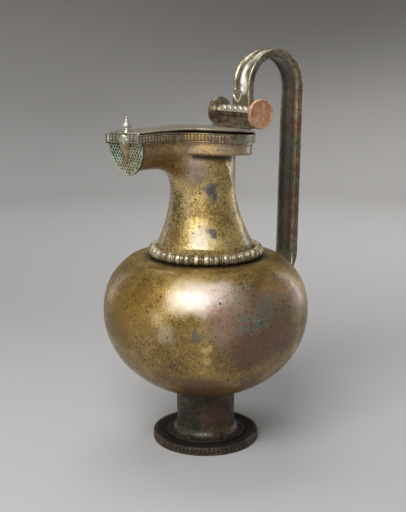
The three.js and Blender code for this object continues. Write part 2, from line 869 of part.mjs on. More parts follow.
// Each half of the lid's bracket: a foot on the lid, an upright web and a knuckle round the pin.
function lidBracket(centre_y, length) {
  const half_web = bracket_web_thickness / 2;
  const rear = pin_x - half_web;
  const foot_z = bracket_seat(bracket_foot_x);
  const join_angle = Math.asin(half_web / bracket_knuckle_radius);
  const shape = new THREE.Shape();
  shape.moveTo(rear, foot_z);
  shape.lineTo(bracket_foot_x, foot_z);
  shape.lineTo(bracket_foot_x, foot_z + bracket_foot_thickness);
  shape.lineTo(pin_x + half_web + bracket_foot_thickness, foot_z + bracket_foot_thickness);
  shape.lineTo(pin_x + half_web, foot_z + 2 * bracket_foot_thickness);
  shape.absarc(pin_x, pin_z, bracket_knuckle_radius, join_angle - Math.PI / 2,
    (3 * Math.PI) / 2 - join_angle, false);
  const bore = new THREE.Path();
  bore.absarc(pin_x, pin_z, pin_radius + bore_clearance, 0, 2 * Math.PI, true);
  shape.holes.push(bore);
  const bracket = sideExtruded(shape, length, centre_y);
  const holes = bracketRivetPlaces()
    .filter(([, y]) => Math.abs(y - centre_y) < length / 2)
    .map(([x, y]) => {
      const radius = bracket_rivet_radius + bore_clearance;
      return uprightBore(radius, foot_z - cut_overrun, foot_z + cut_overrun, x, y);
    });
  return cut(bracket, holes);
}

function bracketRivet([x, y]) {
  const head_z = bracket_seat(bracket_foot_x) + bracket_foot_thickness + seat_gap;
  const shank_z = mouthLine(x) + lid_low;
  const geometry = rivet(bracket_rivet_radius, shank_z, bracket_rivet_head_radius, head_z,
    bracket_rivet_head_height);
  geometry.translate(x, y, 0);
  return geometry;
}

function hingePin() {
  const half = rotelle_outer_y - rotelle_thickness + pin_socket_depth - seat_gap;
  return crossCylinder(pin_radius, half, pin_x, pin_z);
}

// Disc that closes an end of the hinge: a raised edge, a shallow dished face and a blind socket.
function rotelle(side) {
  const edge = rotelle_thickness / 8;
  const socket = pin_radius + bore_clearance;
  const dish = rotelle_radius - 3 * edge;
  const profile = [
    [0, pin_socket_depth],
    [socket, pin_socket_depth],
    [socket, 0],
    [rotelle_radius - edge, 0],
    [rotelle_radius, edge],
    [rotelle_radius, rotelle_thickness - edge],
    [rotelle_radius - edge, rotelle_thickness],
    [dish, rotelle_thickness],
    [dish - edge, rotelle_thickness - edge],
    [0, rotelle_thickness - edge],
  ];
  const geometry = turned(profile, around);
  geometry.rotateX((-side * Math.PI) / 2);
  geometry.translate(pin_x, side * (rotelle_outer_y - rotelle_thickness), pin_z);
  return geometry;
}

// Beaded roll over the pin, open below for the lid's knuckles; its back wall runs down to the rim.
function hingeRoll() {
  const lip = THREE.MathUtils.degToRad(roll_lip_deg);
  const arc_steps = 7;
  const swells = [0, 0.8, 1, 0.8];
  const sections = [];
  for (let bead = 0; bead <= roll_beads; bead += 1) {
    swells.forEach((swell, k) => {
      if (bead === roll_beads && k > 0) return;
      const along = (bead + k / swells.length) / roll_beads;
      const y = roll_half_length * (2 * along - 1);
      const outer = roll_outer_radius - roll_bead_relief * (1 - swell);
      const loop = [];
      for (let i = 0; i <= arc_steps; i += 1) {
        const angle = lip + (Math.PI - lip) * (i / arc_steps);
        loop.push([outer, angle]);
      }
      for (let i = arc_steps; i >= 0; i -= 1) {
        const angle = lip + (Math.PI - lip) * (i / arc_steps);
        loop.push([roll_inner_radius, angle]);
      }
      sections.push(loop.map(([radius, angle]) => new THREE.Vector3(
        pin_x + radius * Math.cos(angle), y, pin_z + radius * Math.sin(angle))));
    });
  }
  const roll = loft(sections, fannedCap(inSide));
  const rear = pin_x - roll_outer_radius + roll_bead_relief;
  const front = rear + yoke_plate_thickness;
  const seat = mouthLine(rear) + seat_gap;
  const plate = new THREE.Shape();
  plate.moveTo(rear, seat);
  plate.lineTo(Math.min(front, lid_rear_x - seat_gap), seat);
  plate.lineTo(Math.min(front, pin_x - roll_inner_radius), pin_z);
  plate.lineTo(Math.min(front, pin_x - roll_inner_radius), pin_z + yoke_plate_thickness / 2);
  plate.lineTo(rear, pin_z + yoke_plate_thickness / 2);
  return solidToGeometry(joined([roll, sideExtruded(plate, 2 * yoke_plate_half_width, 0)]));
}

// Handle

const handle_mid_x = (handle_front_x + handle_rear_x) / 2;

// Centre line in the X-Z plane, from the hinge over the arch and down to the belly.
function handleRoute() {
  const front = handle_front_x - handle_thickness_front / 2;
  const rear = handle_rear_x - handle_thickness_rear / 2;
  const centre_x = (front + rear) / 2;
  const radius = (front - rear) / 2;
  const foot_z = pin_z + roll_inner_radius;
  const skin = handle_leaf_thickness / 2 + seat_gap;
  const route = [[front, foot_z], [front, (foot_z + handle_arch_z) / 2]];
  const arch_steps = 12;
  for (let i = 0; i <= arch_steps; i += 1) {
    const angle = (Math.PI * i) / arch_steps;
    route.push([centre_x + radius * Math.cos(angle), handle_arch_z + radius * Math.sin(angle)]);
  }
  const strap_steps = 4;
  for (let i = 1; i <= strap_steps; i += 1) {
    const share = i / strap_steps;
    const z = handle_arch_z + (handle_bend_z - handle_arch_z) * share;
    route.push([rear + handle_lean * share, z]);
  }
  const bend = new THREE.CubicBezierCurve(
    new THREE.Vector2(rear + handle_lean, handle_bend_z),
    new THREE.Vector2(rear + handle_lean, (handle_bend_z + handle_landing_z) / 2),
    new THREE.Vector2(-bellyRadius(handle_landing_z) - skin, handle_landing_z
      + (handle_bend_z - handle_landing_z) / 3),
    new THREE.Vector2(-bellyRadius(handle_landing_z) - skin, handle_landing_z),
  );
  for (const point of bend.getPoints(5).slice(1)) route.push([point.x, point.y]);
  const leaf_steps = 6;
  for (let i = 1; i <= leaf_steps; i += 1) {
    const z = handle_landing_z + (handle_tip_z - handle_landing_z) * (i / leaf_steps);
    route.push([-bellyRadius(z) - skin, z]);
  }
  return route;
}

// Half width and thickness of the strap at each height on its way down.
function handleSize(i, route) {
  const [x, z] = route[i];
  const on_front = x > handle_mid_x;
  if (z > handle_arch_z || on_front) {
    const share = on_front && z <= handle_arch_z ? 0 : (handle_front_x - x)
      / (handle_front_x - handle_rear_x);
    const blend = THREE.MathUtils.clamp(share, 0, 1);
    const width = THREE.MathUtils.lerp(handle_width_front, handle_width_rear, blend);
    const thick = THREE.MathUtils.lerp(handle_thickness_front, handle_thickness_rear, blend);
    return [width / 2, thick];
  }
  if (z > handle_bend_z) return [handle_width_rear / 2, handle_thickness_rear];
  if (z > handle_landing_z) {
    const share = smoothStep((handle_bend_z - z) / (handle_bend_z - handle_landing_z));
    return [
      THREE.MathUtils.lerp(handle_width_rear / 2, handle_leaf_half_width, share),
      THREE.MathUtils.lerp(handle_thickness_rear, handle_leaf_thickness, share),
    ];
  }
  const share = (handle_landing_z - z) / (handle_landing_z - handle_tip_z);
  const half = handle_leaf_half_width * Math.max(Math.sqrt(1 - share ** 2), handle_tip_width_share);
  return [half, handle_leaf_thickness];
}

// Strap section: two flutes on the outer face, a shallow hollow on the inner one.
function strapSection(half, thickness, flute) {
  const outer = thickness / 2;
  const edge = Math.min(outer, thickness / 3);
  const across_shares = [-1, -0.88, -0.52, -0.16, 0, 0.16, 0.52, 0.88, 1];
  const cuts = [0, 0, 1, 0.2, 0, 0.2, 1, 0, 0];
  const face = across_shares.map((share, i) => {
    const out = i === 0 || i === across_shares.length - 1 ? edge : outer;
    return [share * half, out - flute * cuts[i]];
  });
  const back = [[half, -edge], [half * 0.8, -outer], [-half * 0.8, -outer], [-half, -edge]];
  return [...face, ...back];
}

function handle() {
  const route = handleRoute();
  const sections = route.map(([x, z], i) => {
    const before = route[Math.max(i - 1, 0)];
    const after = route[Math.min(i + 1, route.length - 1)];
    const along = new THREE.Vector2(after[0] - before[0], after[1] - before[1]).normalize();
    const outward = new THREE.Vector2(along.y, -along.x);
    const [half, thickness] = handleSize(i, route);
    const flute = z > handle_bend_z ? handle_flute_depth : 0;
    return strapSection(half, thickness, flute).map(([across, out]) => new THREE.Vector3(
      x + outward.x * out, across, z + outward.y * out));
  });
  const profile = strapSection(handle_width_front, handle_thickness_front, handle_flute_depth);
  const faces = fannedCap(([across, out]) => new THREE.Vector2(across, out))(profile);
  const strap = loft(sections, () => faces);
  const clearance = roll_outer_radius + seat_gap;
  return cut(strap, [crossCylinder(clearance, handle_width_front, pin_x, pin_z, around)]);
}

// Assembly

const jug = new THREE.Group();

function place(parent, name, geometry, finish) {
  const mesh = new THREE.Mesh(geometry, new THREE.MeshStandardMaterial(finish));
  mesh.name = name;
  parent.add(mesh);
  return mesh;
}

place(jug, 'belly', belly(), gold_bronze);
place(jug, 'foot_disc', footDisc(), dark_bronze);
place(jug, 'foot_stem', footStem(), dark_bronze);
footRivetPlaces().forEach(([x, y], i) => {
  const geometry = rivet(foot_rivet_radius, disc_floor_z - foot_rivet_depth + seat_gap,
    foot_rivet_head_radius, footRivetSeat(), foot_rivet_head_height);
  place(jug, `foot_rivet_${i + 1}`, geometry, dark_bronze).position.set(x, y, 0);
});
place(jug, 'neck_and_spout', neckAndSpout(), gold_bronze);
place(jug, 'neck_ring', neckRing(), bright_bronze);
place(jug, 'rim_band', rimBand(), grey_bronze);
place(jug, 'strainer', strainer(), green_bronze);
place(jug, 'handle', handle(), grey_bronze);
place(jug, 'hinge_roll', hingeRoll(), bright_bronze);
place(jug, 'rotelle_near', rotelle(1), copper_red);
place(jug, 'rotelle_far', rotelle(-1), dark_bronze);
place(jug, 'hinge_pin', hingePin(), dark_bronze);

const lid_group = new THREE.Group();
jug.add(lid_group);
const bracket_length = bracket_half_length - bracket_seam / 2;
const bracket_centre = bracket_seam / 2 + bracket_length / 2;
place(lid_group, 'lid', lid(), grey_bronze);
place(lid_group, 'lid_fascia', lidFascia(), bright_bronze);
place(lid_group, 'lid_leaf', lidLeaf(), green_bronze);
place(lid_group, 'lid_finial', lidFinial(), bright_bronze);
place(lid_group, 'lid_bracket_near', lidBracket(bracket_centre, bracket_length), dark_bronze);
place(lid_group, 'lid_bracket_far', lidBracket(-bracket_centre, bracket_length), dark_bronze);
bracketRivetPlaces().forEach((spot, i) => {
  place(lid_group, `bracket_rivet_${i + 1}`, bracketRivet(spot), grey_bronze);
});

export default jug;
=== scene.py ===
"""Looks of a lidded bronze jug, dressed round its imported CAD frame.

Sizes are written in millimetres, the unit of the part's source, and the mesh builder turns them into
metres. +Z is up, +X points to the spout and +Y to the copper-red disc. The origin is the centre of
the foot's underside.
"""

import math

import bmesh
import bpy
import numpy as np
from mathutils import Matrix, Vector
from mathutils.geometry import delaunay_2d_cdt


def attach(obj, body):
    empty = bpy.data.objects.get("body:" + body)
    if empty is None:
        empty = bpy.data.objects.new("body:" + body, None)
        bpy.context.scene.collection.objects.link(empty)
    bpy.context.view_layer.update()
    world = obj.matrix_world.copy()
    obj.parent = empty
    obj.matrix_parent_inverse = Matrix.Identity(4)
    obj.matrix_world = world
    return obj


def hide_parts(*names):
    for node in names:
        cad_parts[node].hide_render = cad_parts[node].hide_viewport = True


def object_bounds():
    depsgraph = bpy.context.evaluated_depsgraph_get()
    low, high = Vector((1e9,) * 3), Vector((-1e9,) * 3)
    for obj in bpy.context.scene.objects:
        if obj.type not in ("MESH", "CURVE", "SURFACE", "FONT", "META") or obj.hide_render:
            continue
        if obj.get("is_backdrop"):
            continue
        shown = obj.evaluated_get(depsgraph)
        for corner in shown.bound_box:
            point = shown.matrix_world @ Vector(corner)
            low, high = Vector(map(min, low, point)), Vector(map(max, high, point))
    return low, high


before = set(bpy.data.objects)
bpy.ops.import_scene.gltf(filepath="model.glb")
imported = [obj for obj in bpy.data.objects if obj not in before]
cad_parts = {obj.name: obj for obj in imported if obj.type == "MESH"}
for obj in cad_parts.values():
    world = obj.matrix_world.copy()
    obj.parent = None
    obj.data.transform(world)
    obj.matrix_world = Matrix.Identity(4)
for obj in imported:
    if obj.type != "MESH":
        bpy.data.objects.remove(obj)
cad_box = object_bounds()

MM = 0.001
TAU = 2 * math.pi

# Belly
BELLY_RADIUS = 91.8
BELLY_EQUATOR = 122.1
BELLY_LOWER = 77.1
BELLY_UPPER = 63.6
BELLY_LOWER_POWER = 2.02
BELLY_UPPER_POWER = 2.35
BELLY_BLEND_RADIUS = 68.0
SHOULDER_Z = 171.6
SHOULDER_RADIUS = 54.0
WALL = 1.8
# Width of the painted shadow on the shoulder outside the ring
RING_SHADOW_WIDTH = 8.0

# Foot
DISC_RADIUS = 48.3
DISC_HEIGHT = 7.3
DISC_LIP_WIDTH = 3.4
DISC_FLOOR = 6.0
DISC_TONGUES = 76
DISC_RELIEF = 0.7
STEM_RADIUS = 26.4
STEM_WALL = 2.2
FLARE_RADIUS = 35.6
FLARE_FILLET = 7.0
FLANGE_LOW = 6.3
FLANGE_TOP = 8.5
# Height of the painted shade on the stem above the flange
FLANGE_SHADE_HEIGHT = 1.6
RIVET_COUNT = 6
RIVET_TURN = math.radians(26)
RIVET_CIRCLE = 32.3
RIVET_HEAD = 2.4
RIVET_HEIGHT = 1.4
RIVET_SUNK = 1.6

# Neck and mouth
NECK_LOW = 171.9
NECK_THROAT = 28.5
NECK_BASE = 42.0
NECK_SHIFT = 0.6
NECK_FLARE_TOP = 236.0
NECK_CUFF_SHARE = 0.2
NECK_FLARE_POWER = 1.9
NECK_LEAN = 2.7
RING_RADIUS = 46.6
RING_Z = 176.8
RING_TUBE = 4.9
RING_UNITS = 36
RING_RELIEF = 1.5
LOBE_RADIUS = 43.3
WAIST_RADIUS = 26.0
SPOUT_HALF = 26.3
SPOUT_ROLL = 0.045
MOUTH_CREST_X = 45.0
MOUTH_CREST_Z = 284.2
MOUTH_REAR_DROP = 4.4
BAND_THICKNESS = 2.5
BAND_HEIGHT = 7.6
BAND_PITCH = 2.9
BAND_RELIEF = 0.85
BAND_DIP = 1.4
NECK_LIP_DROP = 2.6
COLLAR_RADIUS = 40.5
COLLAR_HEIGHT = 19.4
COLLAR_ROUND = 2.4
TROUGH_HALF = 23.5
TROUGH_DEPTH = 31.4
TROUGH_POWER = 1.88
TROUGH_BLEND_TOP = 8.0
TROUGH_BLEND_LOW = 27.0
NET_STEP = 1.0

# Strainer
STRAINER_TOP_X = 83.6
STRAINER_LEAN = math.radians(4.5)
STRAINER_THICKNESS = 1.6
STRAINER_HALF = 25.7
STRAINER_SHOULDER = 7.6
STRAINER_DEPTH = 26.6
HOLE_RADIUS = 1.05
HOLE_MARGIN = 1.0
HOLE_ACROSS = 3.9
HOLE_DOWN = 2.5
HOLE_RIM = 0.12
EDGE_BEAD_RADIUS = 0.6
EDGE_BEAD_INSET = 0.55

# Lid
LID_GAP = 0.45
LID_THICKNESS = 1.3
LID_INSET = 0.6
LID_REAR_X = -40.2
FASCIA_BACK = 83.9
FASCIA_FRONT = 86.0
FASCIA_HEIGHT = 8.4
FASCIA_HALF = 23.6
FASCIA_PITCH = 5.2
FASCIA_POST = 2.2
FASCIA_RELIEF = 0.95
LEAF_LENGTH = 16.6
LEAF_HALF = 7.4
HEAD_Y = 2.0
# Turn in degrees and reach of each petal
PETALS = ((-78, 6.0), (-40, 5.4), (0, 5.2), (40, 5.4), (78, 6.0))
SCROLL_RADIUS = 0.7
FINIAL_X = 81.6
FINIAL_HEIGHT = 12.1
FINIAL_RADIUS = 3.95

# Hinge
PIN_X = -38.0
PIN_Z = 295.8
DISC_R = 13.0
DISC_THICK = 4.0
DISC_OUTER_Y = 30.2
ROLL_OUTER = 6.3
ROLL_INNER = 4.4
ROLL_HALF = 25.9
ROLL_BEADS = 7
ROLL_RELIEF = 0.8
ROLL_LIP = math.radians(10)
YOKE_THICKNESS = 2.2
YOKE_HALF = 9.5

# Handle
HANDLE_FRONT_X = -38.4
HANDLE_REAR_X = -95.8
STRAP_POWER = 5.5
HANDLE_ARCH_Z = 318.5
HANDLE_WIDTH_FRONT = 23.0
HANDLE_WIDTH_REAR = 24.0
HANDLE_THICK_FRONT = 7.8
HANDLE_THICK_REAR = 9.0
FLUTE_START = 14.0
FLUTE_END = 4.0
HANDLE_LEAN = 3.0
HANDLE_BEND_Z = 164.0
HANDLE_LANDING_Z = 143.0
HANDLE_TIP_Z = 104.0
HANDLE_LEAF_HALF = 14.5
HANDLE_LEAF_THICK = 3.0
FLUTE_DEPTH = 2.0
HEART_RADIUS = 0.75
# Painted shade and dark reflection: how dark places across the inner face are made, from -1 at one edge to
# 1 at the other
STRAP_SHADE_ACROSS = [-1, -0.93, -0.84, -0.72, -0.6, -0.25, -0.1, 0.35, 0.5, 0.66, 0.76, 0.94, 1]
STRAP_SHADE_DEPTH = [0.95, 0.8, 0, 0, 0.9, 0.95, 0.55, 0.5, 0.95, 1, 0.1, 0, 0.3]

# Materials by the name of their slot, filled before the pieces are built
PAINT = {}


# Mesh building


def smooth_step(share):
    s = np.clip(share, 0.0, 1.0)
    return s * s * (3 - 2 * s)


def dome(a, b=0.0):
    """Height of a unit dome over a place in its plan, and 0 outside it."""
    return np.sqrt(np.clip(1 - a**2 - b**2, 0, 1))


def stack(*axes):
    """Points from their coordinates, each a number or an array."""
    return np.stack(np.broadcast_arrays(*axes), axis=-1)


def unit(vectors):
    return vectors / np.linalg.norm(vectors, axis=-1, keepdims=True)


def length_along(path):
    """Length of a polyline up to each of its points."""
    return np.concatenate([[0], np.cumsum(np.linalg.norm(np.diff(path, axis=0), axis=1))])


def set_normals(mesh, slope):
    """Gives corners away from sharp edges the exact normals of the surface the mesh was made from."""
    place = np.empty(len(mesh.vertices) * 3, np.float32)
    mesh.vertices.foreach_get("co", place)
    normals = slope(place.reshape(-1, 3).astype(float) / MM)
    ends = np.empty(len(mesh.edges) * 2, np.int32)
    mesh.edges.foreach_get("vertices", ends)
    is_sharp = np.empty(len(mesh.edges), bool)
    mesh.edges.foreach_get("use_edge_sharp", is_sharp)
    normals[ends.reshape(-1, 2)[is_sharp].ravel()] = 0
    corners = np.empty(len(mesh.loops), np.int32)
    mesh.loops.foreach_get("vertex_index", corners)
    mesh.normals_split_custom_set(normals[corners].tolist())


def build(name, shape, slot, nodes=(), body="jug", sharp=40.0, groove=None, slope=None):
    """Makes a smooth-shaded piece from millimetre points and their faces, riding on a body of the frame.

    groove holds how much painted shade each point takes from its material's groove colour, from 0 to 1: in
    the ornament from 0 on a crest to 1 in a groove, and also under and between parts.
    slope returns the surface's unit normals at millimetre points, where they are known exactly.
    """
    points, faces = shape
    mesh = bpy.data.meshes.new(name)
    mesh.from_pydata((np.asarray(points, float) * MM).tolist(), [], [list(map(int, f)) for f in faces])
    if groove is not None:
        depth = mesh.attributes.new("groove", "FLOAT", "POINT")
        depth.data.foreach_set("value", np.asarray(groove, np.float32).ravel())
    tidy = bmesh.new()
    tidy.from_mesh(mesh)
    bmesh.ops.remove_doubles(tidy, verts=tidy.verts, dist=2e-6)
    bmesh.ops.dissolve_degenerate(tidy, edges=tidy.edges, dist=1e-6)
    bmesh.ops.recalc_face_normals(tidy, faces=tidy.faces)
    tidy.to_mesh(mesh)
    tidy.free()
    mesh.shade_smooth()
    mesh.set_sharp_from_angle(angle=math.radians(sharp))
    if slope is not None:
        set_normals(mesh, slope)
    piece = bpy.data.objects.new(name, mesh)
    bpy.context.scene.collection.objects.link(piece)
    mesh.materials.append(PAINT[slot])
    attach(piece, body)
    if nodes:
        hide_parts(*nodes)


def grid_faces(rows, columns, closed=False):
    """Quads of a grid of points listed row by row, each row a closed loop."""
    faces = []
    for r in range(rows if closed else rows - 1):
        low, up = r * columns, (r + 1) % rows * columns
        for c in range(columns):
            right = (c + 1) % columns
            faces.append((low + c, low + right, up + right, up + c))
    return faces


def lathe(profile, segments, centre=(0.0, 0.0)):
    """Points and faces of a [radius, height] profile turned about an upright axis."""
    radius, height = np.asarray(profile, float).T[:, :, None]
    angles = np.linspace(0, TAU, segments, endpoint=False)
    points = stack(radius * np.cos(angles), radius * np.sin(angles), height)
    return points.reshape(-1, 3) + [*centre, 0], grid_faces(len(profile), segments)


def dense(points, step):
    """The same open polyline with points no further apart than step."""
    points = np.asarray(points, float)
    out = [points[0]]
    for a, b in zip(points[:-1], points[1:]):
        count = max(1, int(math.ceil(np.linalg.norm(b - a) / step)))
        out += [a + (b - a) * (k + 1) / count for k in range(count)]
    return np.array(out)


def loft(sections, closed=False):
    """Points and faces through closed sections of equal size, with flat ends unless it is closed."""
    sections = np.asarray(sections, float)
    rows, columns = sections.shape[:2]
    faces = grid_faces(rows, columns, closed)
    if not closed:
        faces.append(tuple(range(columns))[::-1])
        faces.append(tuple((rows - 1) * columns + c for c in range(columns)))
    return sections.reshape(-1, 3), faces


def tube(route, radius, sides):
    """Points and faces of a round wire along a route that never runs along +X."""
    along = unit(np.gradient(route, axis=0))
    across = unit(np.cross(along, [1.0, 0, 0]))[:, None]
    third = np.cross(along[:, None], across)
    turn = np.linspace(0, TAU, sides, endpoint=False)[:, None]
    return loft(route[:, None] + radius * (np.cos(turn) * across + np.sin(turn) * third))


def rounded(points, radius, steps=3):
    """A closed 2D outline with its corners cut back by a small radius."""
    points = [np.asarray(p, float) for p in points]
    out = []
    for i, corner in enumerate(points):
        before, after = points[i - 1] - corner, points[(i + 1) % len(points)] - corner
        reach = min(radius, np.linalg.norm(before) / 2.2, np.linalg.norm(after) / 2.2)
        a, b = corner + unit(before) * reach, corner + unit(after) * reach
        for t in np.linspace(0, 1, steps + 1):
            out.append(a * (1 - t) ** 2 + corner * 2 * t * (1 - t) + b * t * t)
    return np.array(out)


# Belly and foot


def bulge(value, widest, height, power):
    share = np.clip(np.asarray(value, float) / widest, 0, 1)
    return height * (1 - share**power) ** (1 / power)


def belly_radius(z):
    upper = bulge(z - BELLY_EQUATOR, BELLY_UPPER, BELLY_RADIUS, BELLY_UPPER_POWER)
    lower = bulge(BELLY_EQUATOR - z, BELLY_LOWER, BELLY_RADIUS, BELLY_LOWER_POWER)
    return np.where(np.asarray(z) > BELLY_EQUATOR, upper, lower)


def belly_skin(inset, opening, steps):
    """Profile from the bottom over the widest place and the flat shoulder to the opening."""
    widest = BELLY_RADIUS - inset
    radius = widest * np.sin(np.linspace(0, math.pi / 2, steps, endpoint=False))
    height = BELLY_EQUATOR - bulge(radius, widest, BELLY_LOWER - inset, BELLY_LOWER_POWER)
    blend = BELLY_BLEND_RADIUS - inset
    top = SHOULDER_Z - inset
    up_radius = widest * np.cos(np.linspace(0, math.acos(blend / widest), steps))
    up_height = BELLY_EQUATOR + bulge(up_radius, widest, BELLY_UPPER - inset, BELLY_UPPER_POWER)
    slope = (up_height[-1] - up_height[-2]) / (up_radius[-1] - up_radius[-2])
    middle = blend + (top - up_height[-1]) / slope
    t = np.linspace(0, 1, steps // 2)[1:]
    bend_radius = blend * (1 - t) ** 2 + middle * 2 * t * (1 - t) + SHOULDER_RADIUS * t * t
    bend_height = up_height[-1] * (1 - t) ** 2 + top * (2 * t * (1 - t) + t * t)
    flat = np.linspace(SHOULDER_RADIUS, opening, 12)[1:]
    radii = np.concatenate([radius, up_radius, bend_radius, flat])
    heights = np.concatenate([height, up_height, bend_height, top + 0 * flat])
    return stack(radii, heights)


def make_belly():
    opening = NECK_BASE - WALL
    profile = np.concatenate([belly_skin(0, opening, 48), belly_skin(WALL, opening, 24)[::-1]])
    points, faces = lathe(profile, 192)
    # Painted shadow: the shoulder takes the groove colour in a band just outside the ring, where the ring
    # shades it
    from_ring = np.hypot(points[:, 0], points[:, 1]) - RING_RADIUS - RING_TUBE
    painted_shade = np.clip((RING_SHADOW_WIDTH - from_ring) / (RING_SHADOW_WIDTH - 1), 0, 1) ** 1.5
    painted_shade = painted_shade * (points[:, 2] > BELLY_EQUATOR)
    build("belly_sheet", (points, faces), "belly_bronze", ["belly"], groove=painted_shade)


def make_foot():
    """Dished disc, whose edge is a row of upright tongues between two beads."""
    edge = DISC_RADIUS
    lip = edge - DISC_LIP_WIDTH
    rows = [(0.0, 0.0, 0), (edge - 1.0, 0.0, 0), (edge - 0.4, 0.2, 0), (edge - 0.2, 0.7, 0)]
    rows += [(edge - 0.4, 1.1, 0)] + [(edge - 0.8, z, 1) for z in np.linspace(1.3, 5.9, 12)]
    rows += [(edge - 0.4, 6.2, 0), (edge - 0.2, 6.6, 0), (edge - 0.4, 7.1, 0)]
    rows += [(edge - 0.9, DISC_HEIGHT, 0), (lip + 0.5, DISC_HEIGHT, 0), (lip - 0.3, 7.0, 0)]
    rows += [(lip - 1.4, DISC_FLOOR, 0), (0.0, DISC_FLOOR, 0)]
    radius, z, tongued = np.array(rows).T[:, :, None]
    columns = np.arange(DISC_TONGUES * 8)
    angles = TAU * columns / len(columns)
    hump = dome(2 * (columns / 8 % 1) - 1, tongued * np.clip((z - 4.6) / 1.4, 0, 1))
    reach = radius + tongued * DISC_RELIEF * hump
    # Painted shade: the groove colour darkens the hollows between the tongues and the whole dish top under
    # the belly
    groove = np.where((z < DISC_FLOOR) | (radius > lip), tongued * (1 - hump), 1)
    points = stack(reach * np.cos(angles), reach * np.sin(angles), z).reshape(-1, 3)
    shape = (points, grid_faces(len(rows), len(columns)))
    build("foot_plate", shape, "foot_bronze", ["foot_disc"], sharp=55, groove=groove)


def make_stem():
    inner = STEM_RADIUS - STEM_WALL
    top = BELLY_EQUATOR - float(bulge(STEM_RADIUS, BELLY_RADIUS, BELLY_LOWER, BELLY_LOWER_POWER))
    turn = np.linspace(0, math.pi / 2, 14)
    in_fillet, up_fillet = FLARE_FILLET * (1 - np.sin(turn)), FLARE_FILLET * (1 - np.cos(turn))
    profile = [(inner, FLANGE_LOW), (FLARE_RADIUS, FLANGE_LOW), (FLARE_RADIUS + 0.2, FLANGE_LOW + 0.5)]
    profile += [(FLARE_RADIUS + 0.1, FLANGE_TOP - 0.5), (FLARE_RADIUS - 0.5, FLANGE_TOP)]
    profile += list(stack(STEM_RADIUS + in_fillet, FLANGE_TOP + up_fillet))
    profile += [(STEM_RADIUS, z) for z in np.linspace(FLANGE_TOP + FLARE_FILLET, top - 0.2, 12)[1:]]
    profile += [(inner, top - 1.8), (inner, FLANGE_LOW)]
    points, faces = lathe(profile, 128)
    # Painted shade: the stem darkens toward the corner where it meets the flange, and takes a little groove
    # colour all over
    painted_shade = 0.8 * np.clip((FLANGE_TOP + FLANGE_SHADE_HEIGHT - points[:, 2]) / FLANGE_SHADE_HEIGHT, 0, 1) + 0.1
    build("stem_tube", (points, faces), "foot_bronze", ["foot_stem"], groove=painted_shade)


def make_foot_rivets():
    drop = math.sqrt(FLARE_FILLET**2 - (STEM_RADIUS + FLARE_FILLET - RIVET_CIRCLE + RIVET_HEAD) ** 2)
    seat = FLANGE_TOP + FLARE_FILLET - drop
    turn = np.linspace(0, math.pi / 2, 7)
    profile = [(0, seat - RIVET_SUNK), (RIVET_HEAD, seat - RIVET_SUNK)]
    profile += list(stack(RIVET_HEAD * np.cos(turn), seat + RIVET_HEIGHT * np.sin(turn)))
    for i in range(RIVET_COUNT):
        angle = RIVET_TURN + TAU * i / RIVET_COUNT
        shape = lathe(profile, 24, (RIVET_CIRCLE * math.cos(angle), RIVET_CIRCLE * math.sin(angle)))
        name = f"foot_rivet_{i + 1}"
        # The rivet heads take 0.7 of the groove colour all over, which darkens them evenly
        build("dome_" + name, shape, "foot_bronze", [name], groove=np.full(len(shape[0]), 0.7))


# Neck, collar and trough spout


def mouth_line(x, y=0.0):
    """Height of the mouth's edge: a shallow arch that leans to its far side at the spout."""
    share = (x - MOUTH_CREST_X) / (MOUTH_CREST_X - PIN_X)
    roll = SPOUT_ROLL * smooth_step(np.asarray(x) / MOUTH_CREST_X)
    return MOUTH_CREST_Z - MOUTH_REAR_DROP * share**2 + roll * y


def mouth_side(inset, front_x, fine=1):
    """Near side of the mouth's plan, from the rear point to the front."""
    centre_y = SPOUT_HALF + WAIST_RADIUS
    reach = LOBE_RADIUS + WAIST_RADIUS
    centre_x = math.sqrt(reach**2 - centre_y**2)
    meet = math.atan2(centre_y, centre_x)
    lobe = np.linspace(math.pi, meet, 60 * fine, endpoint=False)
    waist = np.linspace(meet, math.pi / 2, 16 * fine)
    lobe_points = stack(np.cos(lobe), np.sin(lobe)) * (LOBE_RADIUS - inset)
    hollow = WAIST_RADIUS + inset
    waist_points = stack(centre_x - hollow * np.cos(waist), centre_y - hollow * np.sin(waist))
    last = waist_points[-1]
    share = np.linspace(0, 1, 24 * fine)[1:, None]
    straight = last + (np.array([front_x, last[1]]) - last) * share
    return np.concatenate([lobe_points, waist_points, straight])


def plan_distance(x, y, outline):
    """Signed distance of points to a closed plan outline, negative inside."""
    nearest = np.full(x.shape, np.inf)
    inside = np.zeros(x.shape, bool)
    for (ax, ay), (bx, by) in zip(outline, np.roll(outline, -1, axis=0)):
        ex, ey = bx - ax, by - ay
        t = np.clip(((x - ax) * ex + (y - ay) * ey) / max(ex * ex + ey * ey, 1e-9), 0, 1)
        nearest = np.minimum(nearest, np.hypot(x - ax - t * ex, y - ay - t * ey))
        crosses = (ay > y) != (by > y)
        at = ax + (y - ay) * ex / (ey if abs(ey) > 1e-9 else 1e-9)
        inside ^= crosses & (x < at)
    return np.where(inside, -nearest, nearest)


def blend_union(a, b, radius):
    """Union of two distance fields with a fillet of about that radius."""
    near = np.clip(0.5 + 0.5 * (b - a) / radius, 0, 1)
    return b + (a - b) * near - radius * near * (1 - near)


def as_distance(field, x, y, z, axes, step=0.05):
    """Value of a field function scaled to unit slope along the given axes, near its zero level."""
    here = field(x, y, z)
    moves = [[step * (axis == k) for k in "xyz"] for axis in axes]
    slope = sum((field(x + dx, y + dy, z + dz) - here) ** 2 for dx, dy, dz in moves)
    return here / np.maximum(np.sqrt(slope) / step, 0.02)


